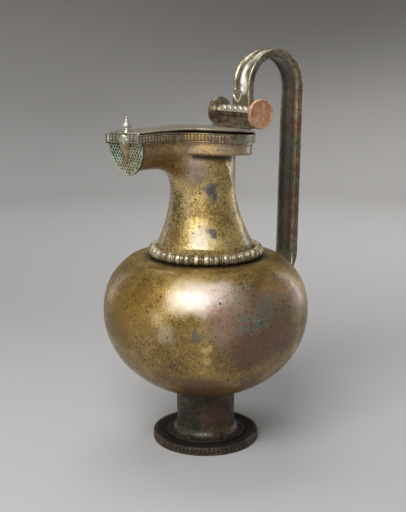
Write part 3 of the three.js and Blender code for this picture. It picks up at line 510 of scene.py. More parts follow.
def neck_field(x, y, z):
    share = np.clip((z - NECK_LOW) / (NECK_FLARE_TOP - NECK_LOW), 0, 1)
    flare = np.minimum(1, ((1 - share) / (1 - NECK_CUFF_SHARE)) ** NECK_FLARE_POWER)
    radius = NECK_THROAT + (NECK_BASE - NECK_THROAT) * flare
    return np.hypot(x - NECK_SHIFT - NECK_LEAN * smooth_step(share), y) - radius


def trough_field(x, y, z):
    top = mouth_line(x) - BAND_HEIGHT + 2
    across = np.abs(y) / TROUGH_HALF
    down = np.maximum(top - z, 0) / (TROUGH_DEPTH - BAND_HEIGHT + 2)
    return (across**TROUGH_POWER + down**TROUGH_POWER) ** (1 / TROUGH_POWER) - 1


def front_plane(x, z):
    """Distance in front of the strainer's back face."""
    back = STRAINER_TOP_X - STRAINER_THICKNESS - 0.3
    drop = mouth_line(STRAINER_TOP_X) - z
    return (x - back + drop * math.tan(STRAINER_LEAN)) * math.cos(STRAINER_LEAN)


def neck_and_spout_field(x, y, z, plan):
    """Distance to the outside of the neck, collar and trough, as if filled and open-ended."""
    rim = mouth_line(x, y)
    drum = -blend_union(COLLAR_RADIUS - np.hypot(x, y), z - rim + COLLAR_HEIGHT, COLLAR_ROUND)
    band_wall = np.maximum(plan, rim - BAND_HEIGHT - 3 - z)
    neck = as_distance(neck_field, x, y, z, "xyz")
    trough = np.maximum(as_distance(trough_field, x, y, z, "yz"), NECK_THROAT / 2 - x)
    low = smooth_step((rim - z - COLLAR_HEIGHT + 2) / 14)
    body = blend_union(neck, trough, TROUGH_BLEND_TOP + (TROUGH_BLEND_LOW - TROUGH_BLEND_TOP) * low)
    return blend_union(blend_union(body, drum, 1.2), band_wall, 1.5)


def neck_sheet_field(x, y, z, plan):
    """Distance to the sheet metal of the neck and spout, open at the belly, the mouth and the front."""
    outside = neck_and_spout_field(x, y, z, plan)
    shell = np.maximum(outside, -(outside + WALL))
    ends = np.maximum(NECK_LOW - z, z - mouth_line(x, y) + NECK_LIP_DROP)
    return np.maximum(shell, np.maximum(front_plane(x, z), ends))


def neck_slope(points, outline, step=0.04):
    """Value and gradient of the neck's sheet field at points."""
    x, y, z = points.T
    near = z > MOUTH_CREST_Z - 32

    def value(dx, dy, dz):
        plan = np.full(len(x), 99.0)
        plan[near] = plan_distance(x[near] + dx, y[near] + dy, outline)
        return neck_sheet_field(x + dx, y + dy, z + dz, plan)

    steps = ((step, 0, 0), (0, step, 0), (0, 0, step))
    sides = [value(a, b, c) - value(-a, -b, -c) for a, b, c in steps]
    return value(0, 0, 0), np.stack(sides, axis=-1) / (2 * step)


def settle(points, outline, rounds=4):
    """Moves points onto the zero level of the neck's sheet field."""
    for _ in range(rounds):
        here, slope = neck_slope(points, outline)
        move = here[:, None] * slope / np.maximum((slope**2).sum(axis=1), 0.25)[:, None]
        points = points - np.clip(move, -0.4, 0.4)
    return points


def net_points(field):
    """One point in each cell that the zero level crosses, in steps of the grid, and the cells' index."""
    shape = np.array(field.shape) - 1
    total = np.zeros((*shape, 3), np.float32)
    count = np.zeros(shape, np.float32)

    def corner_values(corner):
        return field[tuple(slice(a, a + n) for a, n in zip(corner, shape))]

    for a in np.ndindex(2, 2, 2):
        for axis in range(3):
            if a[axis]:
                continue
            b = [1 if k == axis else a[k] for k in range(3)]
            va, vb = corner_values(a), corner_values(b)
            crossing = (va < 0) != (vb < 0)
            t = np.where(crossing, va / np.where(crossing, va - vb, 1), 0)
            for c in range(3):
                total[..., c] += np.where(crossing, a[c] + t * (b[c] - a[c]), 0)
            count += crossing
    active = count > 0
    index = np.full(shape, -1)
    index[active] = np.arange(active.sum())
    return np.argwhere(active) + total[active] / count[active][:, None], index


def surface_net(field, origin, step):
    """Points and quads on the zero level of a sampled field that is negative inside."""
    places, index = net_points(field)
    faces = []
    for axis in range(3):
        u, v = (axis + 1) % 3, (axis + 2) % 3
        low = [slice(1, -1)] * 3
        high = [slice(1, -1)] * 3
        low[axis], high[axis] = slice(0, -1), slice(1, None)
        va, vb = field[tuple(low)], field[tuple(high)]
        for rising in (False, True):
            hit = (va < 0) & (vb >= 0) if rising else (va >= 0) & (vb < 0)
            at = np.argwhere(hit)
            at[:, u] += 1
            at[:, v] += 1
            ring = []
            for du, dv in ((1, 1), (0, 1), (0, 0), (1, 0)):
                place = at.copy()
                place[:, u] -= du
                place[:, v] -= dv
                ring.append(index[tuple(place.T)])
            quads = np.stack(ring, axis=-1)
            faces.append(quads if rising else quads[:, ::-1])
    return origin + step * places, np.concatenate(faces)


def make_neck():
    low = np.array([-LOBE_RADIUS - 3.0, -LOBE_RADIUS - 3.0, NECK_LOW - 3.0])
    high = np.array([STRAINER_TOP_X + 4.0, LOBE_RADIUS + 3.0, MOUTH_CREST_Z + 5.0])
    x, y, z = np.meshgrid(*[np.arange(a, b, NET_STEP) for a, b in zip(low, high)], indexing="ij")
    outline = mouth_side(BAND_THICKNESS + 0.3, 130.0)
    outline = np.concatenate([outline, outline[::-1] * [1, -1]])
    plan = plan_distance(x[:, :, 0], y[:, :, 0], outline)[:, :, None]
    points, faces = surface_net(neck_sheet_field(x, y, z, plan), low, NET_STEP)
    points = settle(points, outline)

    def normals(places):
        slope = neck_slope(places, outline)[1]
        return slope / np.maximum(np.linalg.norm(slope, axis=1), 1e-6)[:, None]

    x, y, z = points.T
    # Painted shadow: the neck takes the groove colour in a band just below the collar's lower edge, where
    # the collar shades it
    below = mouth_line(x, y) - COLLAR_HEIGHT - z
    painted_shade = np.clip(1 - np.abs(below - 2.6) / 3.6, 0, 1) * (np.hypot(x, y) < COLLAR_RADIUS - 2) * (x < 30)
    shape = (points, faces)
    build("neck_sheet", shape, "neck_bronze", ["neck_and_spout"], sharp=50, groove=painted_shade, slope=normals)


def make_ring():
    """Bead and reel: one wide bead and two thin reels in each unit."""
    per_unit = 24
    columns = np.arange(RING_UNITS * per_unit)[:, None]
    t = columns % per_unit / per_unit
    swells = ((1.0, 0.32, 0.32), (0.86, 0.73, 0.085), (0.86, 0.915, 0.085))
    swell = np.max([height * dome((t - middle) / half) for height, middle, half in swells], axis=0)
    tube_radius = RING_TUBE - RING_RELIEF * (1 - swell)
    angles = TAU * columns / len(columns)
    turn = np.linspace(0, TAU, 20, endpoint=False)
    radius = RING_RADIUS + tube_radius * np.cos(turn)
    sections = stack(radius * np.cos(angles), radius * np.sin(angles), RING_Z + tube_radius * np.sin(turn))
    # Painted shade: the groove colour darkens the reels between the beads and the ring's underside
    underside_shade = np.clip((-0.6 - np.sin(turn)) / 0.35, 0, 1)
    groove = np.maximum((1 - swell) ** 0.6, underside_shade)
    build("ring_beads", loft(sections, True), "ring_bronze", ["neck_ring"], sharp=60, groove=groove)


def tongue(along, start, end, drop, share=1.0):
    """Height of a row of convex tongues: along is in pitches, of which each takes up its share."""
    past = np.clip((drop - end + 1.4) / 1.4, 0, 1) + np.clip((start + 0.7 - drop) / 0.7, 0, 1)
    return dome((2 * (along % 1) - 1) / share, past)


def make_rim_band():
    """Band of tongues between two beads, worn flattest midway along the mouth's sides and least at the
    spout.
    """
    side = dense(mouth_side(0, FASCIA_FRONT, fine=3), 0.45)
    path = np.concatenate([(side * [1, -1])[::-1], side[1:]])
    x, y = path.T[:, :, None]
    along_x, along_y = unit(np.gradient(path, axis=0)).T[:, :, None]
    drops = [0, 0, 0.3, 0.8, 1.2, 1.5, 2.0, 2.6, 3.4, 4.2, 5.0, 5.6, 6.1, 6.5, 6.8, 7.0, 7.4, 7.6, 7.6]
    drops = np.array(drops)
    base = np.array([-2.5, -0.4, -0.1, 0, -0.2] + [-0.9] * 10 + [-0.3, -0.2, -0.5, -2.5])
    tongued = (drops > 1.2) & (drops < 6.9)
    rise = tongue(length_along(path)[:, None] / BAND_PITCH, 1.4, 6.9, drops)
    worn = 0.35 + 0.65 * smooth_step((x - 4) / 26) + 0.3 * smooth_step((-x - 12) / 14)
    out = base + np.where(tongued, BAND_RELIEF * (1 - worn * (1 - rise)), 0)
    dip = BAND_DIP * (smooth_step((66 - x) / 32) * smooth_step((x + 40) / 16))
    sections = stack(x - along_y * out, y + along_x * out, mouth_line(x, y) - dip - drops)
    # Painted shade: the groove colour darkens the hollows between the tongues, less where they are worn
    # flatter, and the band's top edge as a dark gap under the lid
    groove = np.where(tongued, worn * (1 - rise), 0.9 * (drops == 0))
    build("band_of_tongues", loft(sections), "rim_bronze", ["rim_band"], sharp=60, groove=groove)


# Strainer


def strainer_half(v, margin=0.0):
    """Half width of the plate at a depth below its top, less a margin all round."""
    widest, deepest = STRAINER_HALF - margin, STRAINER_DEPTH - margin
    if v <= STRAINER_SHOULDER:
        return widest
    return float(bulge(v - STRAINER_SHOULDER, deepest, widest, TROUGH_POWER))


def strainer_holes():
    margin = HOLE_RADIUS + HOLE_MARGIN
    places = []
    for line in range(int(STRAINER_DEPTH / HOLE_DOWN)):
        v = FASCIA_HEIGHT + 0.6 + line * HOLE_DOWN
        if v > STRAINER_SHOULDER + STRAINER_DEPTH - margin:
            break
        reach = strainer_half(v, margin)
        for k in range(-8, 9):
            y = (k + 0.5 * (line % 2)) * HOLE_ACROSS
            if abs(y) <= reach:
                places.append((y, -v))
    return np.array(places)


def strainer_outline():
    turn = np.linspace(0, math.pi / 2, 28)
    depth = STRAINER_SHOULDER + STRAINER_DEPTH * np.sin(turn) ** (2 / TROUGH_POWER)
    right = [(strainer_half(v), -v) for v in depth[:-1]] + [(0.0, -float(depth[-1]))]
    top = SPOUT_HALF - BAND_THICKNESS - 0.3
    outline = [(-top, 0.0), (top, 0.0), (top, -STRAINER_SHOULDER)]
    outline += right + [(-y, z) for y, z in reversed(right[:-1])]
    return np.array(outline + [(-top, -STRAINER_SHOULDER)])


def on_strainer(flat, depth):
    """Places on the leaning plate, from points of its outline's plane and their depth behind the face."""
    across, up = flat.T
    lean_x = up * math.sin(STRAINER_LEAN) - depth * math.cos(STRAINER_LEAN)
    lean_z = up * math.cos(STRAINER_LEAN) + depth * math.sin(STRAINER_LEAN)
    return list(stack(STRAINER_TOP_X + lean_x, across, mouth_line(STRAINER_TOP_X) + lean_z))


def make_strainer():
    """A plate with round holes, filled by a constrained triangulation, whose hole walls and outer edge wall
    are painted dark: painted shade, with dark patina in the holes.
    """
    turn = np.linspace(0, TAU, 14, endpoint=False)
    circle = stack(np.cos(turn), np.sin(turn)) * HOLE_RADIUS
    centres = strainer_holes()
    outline = strainer_outline()
    loops = [outline] + [centre + circle for centre in centres]
    edges = []
    for loop in loops:
        first = len(edges)
        edges += [(first + i, first + (i + 1) % len(loop)) for i in range(len(loop))]
    flat = [Vector(p) for loop in loops for p in loop]
    verts, _, tris, _, _, _ = delaunay_2d_cdt(flat, edges, [], 1, 1e-5)
    verts = np.array([v[:] for v in verts])

    def is_metal(tri):
        return all(np.linalg.norm(verts[list(tri)].mean(axis=0) - centres, axis=1) > HOLE_RADIUS * 0.98)

    tris = [tri for tri in tris if is_metal(tri)]
    points = []
    faces = []
    groove = []
    for depth in (0.0, STRAINER_THICKNESS):
        faces += [[len(points) + i for i in tri] for tri in tris]
        points += on_strainer(verts, depth)
        groove += [0.0] * len(verts)
    levels = (0.0, HOLE_RIM, STRAINER_THICKNESS - HOLE_RIM, STRAINER_THICKNESS)
    for loop in loops:
        faces += [[len(points) + i for i in face] for face in grid_faces(len(levels), len(loop))]
        for depth in levels:
            points += on_strainer(loop, depth)
            # Painted shade: the walls of the holes and the plate's outer edge take the groove colour; in
            # the holes it also stands for dark patina
            groove += [float(depth > 0 and (depth < STRAINER_THICKNESS or loop is outline))] * len(loop)
    build("strainer_plate", (points, faces), "strainer_bronze", ["strainer"], sharp=35, groove=groove)


def make_strainer_edge():
    """Raised bead round the edge of the strainer."""
    turn = np.linspace(0, math.pi / 2, 40)
    half = (STRAINER_HALF - EDGE_BEAD_INSET) * np.cos(turn) ** (2 / TROUGH_POWER)
    depth = STRAINER_SHOULDER + (STRAINER_DEPTH - EDGE_BEAD_INSET) * np.sin(turn) ** (2 / TROUGH_POWER)
    side = stack(half, depth)
    y, v = np.concatenate([side, side[-2::-1] * [-1, 1]]).T
    x = STRAINER_TOP_X - v * math.tan(STRAINER_LEAN) + 0.05
    route = dense(stack(x, y, mouth_line(STRAINER_TOP_X) - v), 0.8)
    build("strainer_edge", tube(route, EDGE_BEAD_RADIUS, 8), "strainer_bronze")


# Lid


def lid_top(x, y=0.0):
    return mouth_line(x, y) + LID_GAP + LID_THICKNESS


def mouth_plate(levels):
    """Points and faces of a plate of the mouth's plan; each level is (inset, height over the rim)."""
    sections = []
    for inset, height in levels:
        side = mouth_side(LID_INSET + inset, FASCIA_BACK - 0.3 - inset)
        side[:, 0] = np.maximum(side[:, 0], LID_REAR_X + inset)
        x, y = np.concatenate([side, (side * [1, -1])[::-1]]).T
        sections.append(stack(x, y, mouth_line(x, y) + height))
    sections = np.array(sections)
    rows, columns = sections.shape[:2]
    faces = grid_faces(rows, columns)
    for start, flip in ((0, 1), ((rows - 1) * columns, -1)):
        for i in range(columns // 2 - 1):
            rung = (start + i, start + i + 1, start + columns - 2 - i, start + columns - 1 - i)
            faces.append(rung[::-flip])
    return sections.reshape(-1, 3), faces


def make_lid():
    top = LID_GAP + LID_THICKNESS
    levels = [(3.4, LID_GAP), (3.4, top - 0.75), (0.15, top - 0.7), (0, top - 0.55), (0, top - 0.15)]
    levels += [(0.15, top), (2.6, top), (3.0, top + 0.15), (3.3, top + 0.45), (4.0, top + 0.5)]
    build("lid_plate", mouth_plate(levels), "lid_bronze", ["lid"], "lid", sharp=35)


def make_fascia():
    """Front board of the lid: a row of tongues between two corner posts."""
    y = np.arange(-FASCIA_HALF, FASCIA_HALF + 0.01, 0.22)[:, None]
    from_end = FASCIA_HALF - np.abs(y)
    drops = [0, 0, 0.25, 0.7, 1.1, 1.4, 2.0, 3.0, 4.0, 5.0, 5.8, 6.4, 6.9, 7.4, 7.7, 8.1, 8.4, 8.4]
    drops = np.array(drops)
    base = np.array([-2.1, -0.5, -0.1, 0, -0.2] + [-1] * 9 + [-0.4, -0.3, -0.6, -2.1])
    tongued = (drops > 1.2) & (drops < 7.5)
    rise = np.where(from_end < FASCIA_POST, 1, tongue(y / FASCIA_PITCH, 1.3, 7.5, drops, 0.72))
    out = base + np.where(tongued, FASCIA_RELIEF * rise, 0)
    out = np.where((from_end < 0.4) & (out > -2), out - 0.4, out)
    sections = stack(FASCIA_FRONT + out, y, lid_top(FASCIA_BACK, y) - drops)
    # Painted shade: the groove colour darkens the hollows between the tongues
    groove = np.where(tongued, (1 - rise) ** 0.5, 0)
    build("fascia_board", loft(sections), "fascia_bronze", ["lid_fascia"], "lid", 60, groove)


def make_leaf():
    """Tapering leaf whose near edge is turned up into a rib."""
    share = np.linspace(0, 1, 26)[:, None]
    across = np.array([-1, -0.97, -0.5, 0, 0.45, 0.6, 0.7, 0.82, 0.95, 1.0])
    front = np.array([0.3, 0.9, 1.1, 0.9, 0.9, 1.3, 2.8, 3.5, 3.0, 0.3])
    z = lid_top(FASCIA_BACK) - FASCIA_HEIGHT + 0.6 - LEAF_LENGTH * share
    back = STRAINER_TOP_X + 0.2 - (mouth_line(STRAINER_TOP_X) - z) * math.tan(STRAINER_LEAN)
    y = -0.2 + 2.0 * share + (LEAF_HALF * (1 - share**1.15) + 0.5) * across
    x = back + 0.3 + front * (1 - 0.3 * share)
    sections = stack(np.hstack([x, back, back]), np.hstack([y, y[:, -1:], y[:, :1]]), z)
    build("leaf_blade", loft(sections), "leaf_bronze", ["lid_leaf"], "lid", 50)


def make_leaf_head():
    """Palmette of five petals on the front board, over a scroll where the leaf begins."""
    middle = lid_top(FASCIA_BACK) - 3.4
    share = np.linspace(0, 1, 12)[:, None]
    around = np.linspace(0, TAU, 14, endpoint=False)
    width = 0.5 + 1.5 * np.sin(math.pi * (share * 0.62 + 0.18)) ** 1.5
    width = width * np.sqrt(np.maximum(1 - (np.maximum(share - 0.85, 0) / 0.16) ** 2, 0.02))
    x = FASCIA_FRONT - 0.4 + (0.9 + 0.7 * share) * np.sin(around)
    for i, (turn, reach) in enumerate(PETALS):
        sine, cosine = math.sin(math.radians(turn)), math.cos(math.radians(turn))
        y = HEAD_Y + sine * reach * share + cosine * width * np.cos(around)
        z = middle - 3.4 + cosine * reach * share - sine * width * np.cos(around)
        build(f"leaf_petal_{i + 1}", loft(stack(x, y, z)), "finial_bronze", body="lid", sharp=70)
    route = [(-6.2, 0.1), (-4.6, 0.6), (-2.4, 0.5), (-0.8, -0.6)]
    route += [(0.8, -2.0), (2.6, -2.5), (4.4, -1.4), (5.8, 0.2)]
    wire = [(FASCIA_FRONT - 0.1, HEAD_Y + y, middle - 4.0 + z) for y, z in route]
    build("leaf_scroll", tube(dense(wire, 0.5), SCROLL_RADIUS, 10), "finial_bronze", body="lid")


def make_finial():
    seat = lid_top(FINIAL_X) + 0.5
    knots = [(0.8, 0), (0.86, 0.02), (0.88, 0.06), (0.8, 0.1), (0.5, 0.12), (0.4, 0.15), (0.42, 0.18)]
    knots += [(0.62, 0.21), (0.84, 0.26), (0.97, 0.33), (1.0, 0.39), (0.96, 0.45), (0.84, 0.52)]
    knots += [(0.66, 0.6), (0.48, 0.67), (0.34, 0.74), (0.24, 0.8), (0.19, 0.85), (0.25, 0.88)]
    knots += [(0.33, 0.91), (0.33, 0.95), (0.22, 0.985), (0, 1)]
    profile = [(0, seat - 0.6), (FINIAL_RADIUS * 0.9, seat - 0.6)]
    profile += [(FINIAL_RADIUS * r, seat + FINIAL_HEIGHT * h) for r, h in knots]
    shape = lathe(profile, 40, (FINIAL_X, 0))
    build("finial_knob", shape, "finial_bronze", ["lid_finial"], "lid", 60)


# Hinge


def make_rotelle(side, node, slot):
    """Disc at one end of the pin: turned upright, then stood on its side."""
    inner = DISC_OUTER_Y - DISC_THICK
    rim = DISC_R
    profile = [(0, inner), (rim - 0.6, inner), (rim - 0.1, inner + 0.4), (rim, inner + 1), (rim, inner + 3)]
    profile += [(rim - 0.15, inner + 3.6), (rim - 0.6, DISC_OUTER_Y), (rim - 1.2, DISC_OUTER_Y - 0.1)]
    profile += [(rim - 1.6, DISC_OUTER_Y - 0.4), (rim - 4, DISC_OUTER_Y - 0.6), (0, DISC_OUTER_Y - 0.7)]
    points, faces = lathe(dense(profile, 2.0), 96)
    x, y, z = points.T
    build("plate_" + node, (stack(PIN_X + x, side * z, PIN_Z + y), faces), slot, [node])


def make_roll():
    """Half-round cover with slanting beads, open below for the lid's knuckles."""
    arc = np.linspace(ROLL_LIP, math.pi, 26)
    y = np.linspace(-ROLL_HALF, ROLL_HALF, ROLL_BEADS * 22 + 1)[:, None]
    along = (y + ROLL_HALF) / (2 * ROLL_HALF) * ROLL_BEADS
    swell = dome(2 * ((along + 0.75 * (arc - math.pi / 2)) % 1) - 1)
    outer = ROLL_OUTER - ROLL_RELIEF + ROLL_RELIEF * swell
    radius = np.hstack([outer, 0 * outer + ROLL_INNER])
    angle = np.concatenate([arc, arc[::-1]])
    sections = stack(PIN_X + radius * np.cos(angle), y, PIN_Z + radius * np.sin(angle))
    # Painted shade: the groove colour darkens the hollows between the beads and the whole inner face
    groove = np.hstack([1 - swell, 0 * swell + 1])
    build("roll_beads", loft(sections), "roll_bronze", ["hinge_roll"], sharp=60, groove=groove)


def make_yoke():
    rear = PIN_X - ROLL_OUTER + 0.7
    front = rear + YOKE_THICKNESS
    low, high = mouth_line(rear) + 0.3, PIN_Z + 1.1
    x, z = rounded([(rear, low), (front, low), (front, high), (rear, high)], 0.4).T
    build("yoke_plate", loft([stack(x, y, z) for y in (-YOKE_HALF, YOKE_HALF)]), "dark_bronze")


# Handle


def handle_route():
    """Centre line from the hinge over the arch and down to the belly, in the X-Z plane."""
    front = HANDLE_FRONT_X - HANDLE_THICK_FRONT / 2
    rear = HANDLE_REAR_X - HANDLE_THICK_REAR / 2
    centre, radius = (front + rear) / 2, (front - rear) / 2
    skin = HANDLE_LEAF_THICK / 2 + 0.3
    turn = np.linspace(0, math.pi, 60)
    arch = stack(centre + radius * np.cos(turn), HANDLE_ARCH_Z + radius * np.sin(turn))
    p0 = np.array([rear + HANDLE_LEAN, HANDLE_BEND_Z])
    p1 = np.array([p0[0], (HANDLE_BEND_Z + HANDLE_LANDING_Z) / 2])
    land_x = -float(belly_radius(HANDLE_LANDING_Z)) - skin
    p2 = np.array([land_x, HANDLE_LANDING_Z + (HANDLE_BEND_Z - HANDLE_LANDING_Z) / 3])
    p3 = np.array([land_x, HANDLE_LANDING_Z])
    t = np.linspace(0, 1, 24)[1:, None]
    bend = p0 * (1 - t) ** 3 + 3 * p1 * t * (1 - t) ** 2 + 3 * p2 * t * t * (1 - t) + p3 * t**3
    z = np.linspace(HANDLE_LANDING_Z, HANDLE_TIP_Z, 30)[1:]
    leaf = stack(-belly_radius(z) - skin, z)
    return dense([(front, PIN_Z + ROLL_INNER), *arch, p0, *bend, *leaf], 1.0)


def strap_section(half, thickness, flute, end):
    """Strap across its width: a full outer face with two flutes and a hollow inner face with borders.

    end runs from 0 where the flutes begin to 1 where they are fully wide, and gives them round ends.
    The third column is how dark each point of the inner face is made by painted shade and dark reflection.
    """
    edge = np.cos(np.linspace(0, 1.14, 9)) ** (2 / STRAP_POWER)
    middle = np.linspace(-edge[-1], edge[-1], 49)[1:-1]
    u = np.concatenate([-edge, middle, edge[::-1]])
    outer = thickness / 2 * (1 - np.abs(u) ** STRAP_POWER) ** (1 / STRAP_POWER)
    outer = outer - flute * dome((np.abs(u) - 0.44) / 0.36, 1 - end)
    inner = -thickness / 2 * (1 - np.abs(u) ** 4) ** 0.25
    inner = inner + 0.6 * flute * smooth_step((0.74 - np.abs(u)) / 0.2)
    strap_shade = np.interp(u, STRAP_SHADE_ACROSS, STRAP_SHADE_DEPTH)
    return np.concatenate([stack(u * half, outer, 0), stack(u * half, inner, strap_shade)[1:-1][::-1]])


def handle_size(x, z):
    """Half width and thickness of the strap at a place on its route."""
    if x > (HANDLE_FRONT_X + HANDLE_REAR_X) / 2 or z > HANDLE_ARCH_Z:
        share = (HANDLE_FRONT_X - x) / (HANDLE_FRONT_X - HANDLE_REAR_X) if z > HANDLE_ARCH_Z else 0.0
        share = min(max(share, 0.0), 1.0)
        width = HANDLE_WIDTH_FRONT + (HANDLE_WIDTH_REAR - HANDLE_WIDTH_FRONT) * share
        return width / 2, HANDLE_THICK_FRONT + (HANDLE_THICK_REAR - HANDLE_THICK_FRONT) * share
    if z > HANDLE_BEND_Z:
        return HANDLE_WIDTH_REAR / 2, HANDLE_THICK_REAR
    if z > HANDLE_LANDING_Z:
        share = float(smooth_step((HANDLE_BEND_Z - z) / (HANDLE_BEND_Z - HANDLE_LANDING_Z)))
        half = HANDLE_WIDTH_REAR / 2 + (HANDLE_LEAF_HALF - HANDLE_WIDTH_REAR / 2) * share
        return half, HANDLE_THICK_REAR + (HANDLE_LEAF_THICK - HANDLE_THICK_REAR) * share
    share = (HANDLE_LANDING_Z - z) / (HANDLE_LANDING_Z - HANDLE_TIP_Z)
    return HANDLE_LEAF_HALF * math.sqrt(max(1 - share**2, 0.02)), HANDLE_LEAF_THICK


def make_handle():
    route = handle_route()
    low = PIN_Z + math.sqrt(ROLL_OUTER**2 - (HANDLE_FRONT_X - HANDLE_THICK_FRONT / 2 - PIN_X) ** 2)
    along = unit(np.gradient(route, axis=0))
    sections = []
    groove = []
    for (x, z), (along_x, along_z), length in zip(route, along, length_along(route)):
        if z < low and x > (HANDLE_FRONT_X + HANDLE_REAR_X) / 2:
            continue
        end = min(max((length - FLUTE_START) / FLUTE_END, 0.0), 1.0)
        fade = float(smooth_step((z - HANDLE_BEND_Z + 8) / 10))
        across, out, strap_shade = strap_section(*handle_size(x, z), FLUTE_DEPTH * fade, end).T
        spread = 1.05 - 0.05 * float(smooth_step((length - 6) / 10))
        sections.append(stack(x + along_z * out, across * spread, z - along_x * out))
        # Painted shade and dark reflection on the inner face, faded out low on the strap
        groove.append(strap_shade * fade)
    build("handle_strap", loft(sections), "handle_bronze", ["handle"], sharp=50, groove=groove)


def make_handle_heart():
    """Heart-shaped wire at the foot of the strap's fluted face, below the ends of its flutes."""
    route = [(-8.6, 12.6), (-8.8, 10.6), (-7.4, 8.6), (-5.4, 6.6), (-3.6, 5.0), (-1.8, 6.6), (0.2, 8.6)]
    route += [(1.6, 10.6), (1.4, 12.6)]
    wire = [(HANDLE_FRONT_X + 0.1, y, PIN_Z + ROLL_INNER + z) for y, z in route]
    build("handle_heart", tube(dense(wire, 0.5), HEART_RADIUS, 10), "roll_bronze")


# Materials

PIT_COLOUR = 0x2A1D10
COAT_ROUGHNESS = 0.24
COAT_IOR = 1.75
BUMP_STRENGTH = 0.42
BUMP_DISTANCE = 0.7


def linear(code):
    """Linear colour of an sRGB code such as 0x8A7040."""
    parts = [(code >> shift & 255) / 255 for shift in (16, 8, 0)]
    return tuple(c / 12.92 if c <= 0.04045 else ((c + 0.055) / 1.055) ** 2.4 for c in parts)


class Paint:
    """A material's nodes: each method adds some and returns the output socket."""

    def __init__(self, name, warp=9.0):
        self.material = bpy.data.materials.new(name)
        self.material.use_nodes = True
        self.tree = self.material.node_tree
        self.shader = self.tree.nodes["Principled BSDF"]
        place = self.node("ShaderNodeTexCoord").outputs["Object"]
        self.place = self.vector("SCALE", place, scale=1 / MM)
        field = self.texture("ShaderNodeTexNoise", 14, 0.0, Detail=5.0)["Color"]
        centred = self.vector("SUBTRACT", field, (0.5, 0.5, 0.5))
        self.warped = self.vector("ADD", self.place, self.vector("SCALE", centred, scale=2 * warp))

    def node(self, kind, **settings):
        made = self.tree.nodes.new(kind)
        for key, value in settings.items():
            setattr(made, key, value)
        return made

    def put(self, socket, value):
        if isinstance(value, bpy.types.NodeSocket):
            self.tree.links.new(value, socket)
        elif socket.type == "RGBA":
            socket.default_value = (*value, 1.0)
        else:
            socket.default_value = value

    def set(self, **inputs):
        """Sets inputs of the shader, whose names are written with _ for spaces."""
        for key, value in inputs.items():
            self.put(self.shader.inputs[key.replace("_", " ")], value)

    def vector(self, operation, a, b=None, scale=None):
        made = self.node("ShaderNodeVectorMath", operation=operation)
        self.put(made.inputs[0], a)
        if b is not None:
            self.put(made.inputs[1], b)
        if scale is not None:
            self.put(made.inputs["Scale"], scale)
        return made.outputs["Value" if operation == "DISTANCE" else "Vector"]

    def math(self, operation, a, b):
        made = self.node("ShaderNodeMath", operation=operation)
        self.put(made.inputs[0], a)
        self.put(made.inputs[1], b)
        return made.outputs[0]

    def texture(self, kind, size, shift, **inputs):
        made = self.node(kind)
        self.put(made.inputs["Vector"], self.vector("ADD", self.place, (shift, shift, shift)))
        self.put(made.inputs["Scale"], 1 / size)
        for key, value in inputs.items():
            self.put(made.inputs[key], value)
        return made.outputs

    def noise(self, size, detail=5.0, roughness=0.6, shift=0.0):
        return self.texture("ShaderNodeTexNoise", size, shift, Detail=detail, Roughness=roughness)["Fac"]

    def span(self, value, start, end, low=0.0, high=1.0):
        made = self.node("ShaderNodeMapRange", interpolation_type="SMOOTHSTEP")
        for socket, number in zip(made.inputs, (value, start, end, low, high)):
            self.put(socket, number)
        return made.outputs["Result"]

    def mix(self, a, b, share):
        made = self.node("ShaderNodeMix", data_type="RGBA")
        self.put(made.inputs[0], share)
        self.put(made.inputs[6], a)
        self.put(made.inputs[7], b)
        return made.outputs[2]

    def bump(self, height, strength, distance):
        made = self.node("ShaderNodeBump")
        self.put(made.inputs["Height"], height)
        self.put(made.inputs["Strength"], strength)
        self.put(made.inputs["Distance"], distance * MM)
        return made.outputs["Normal"]


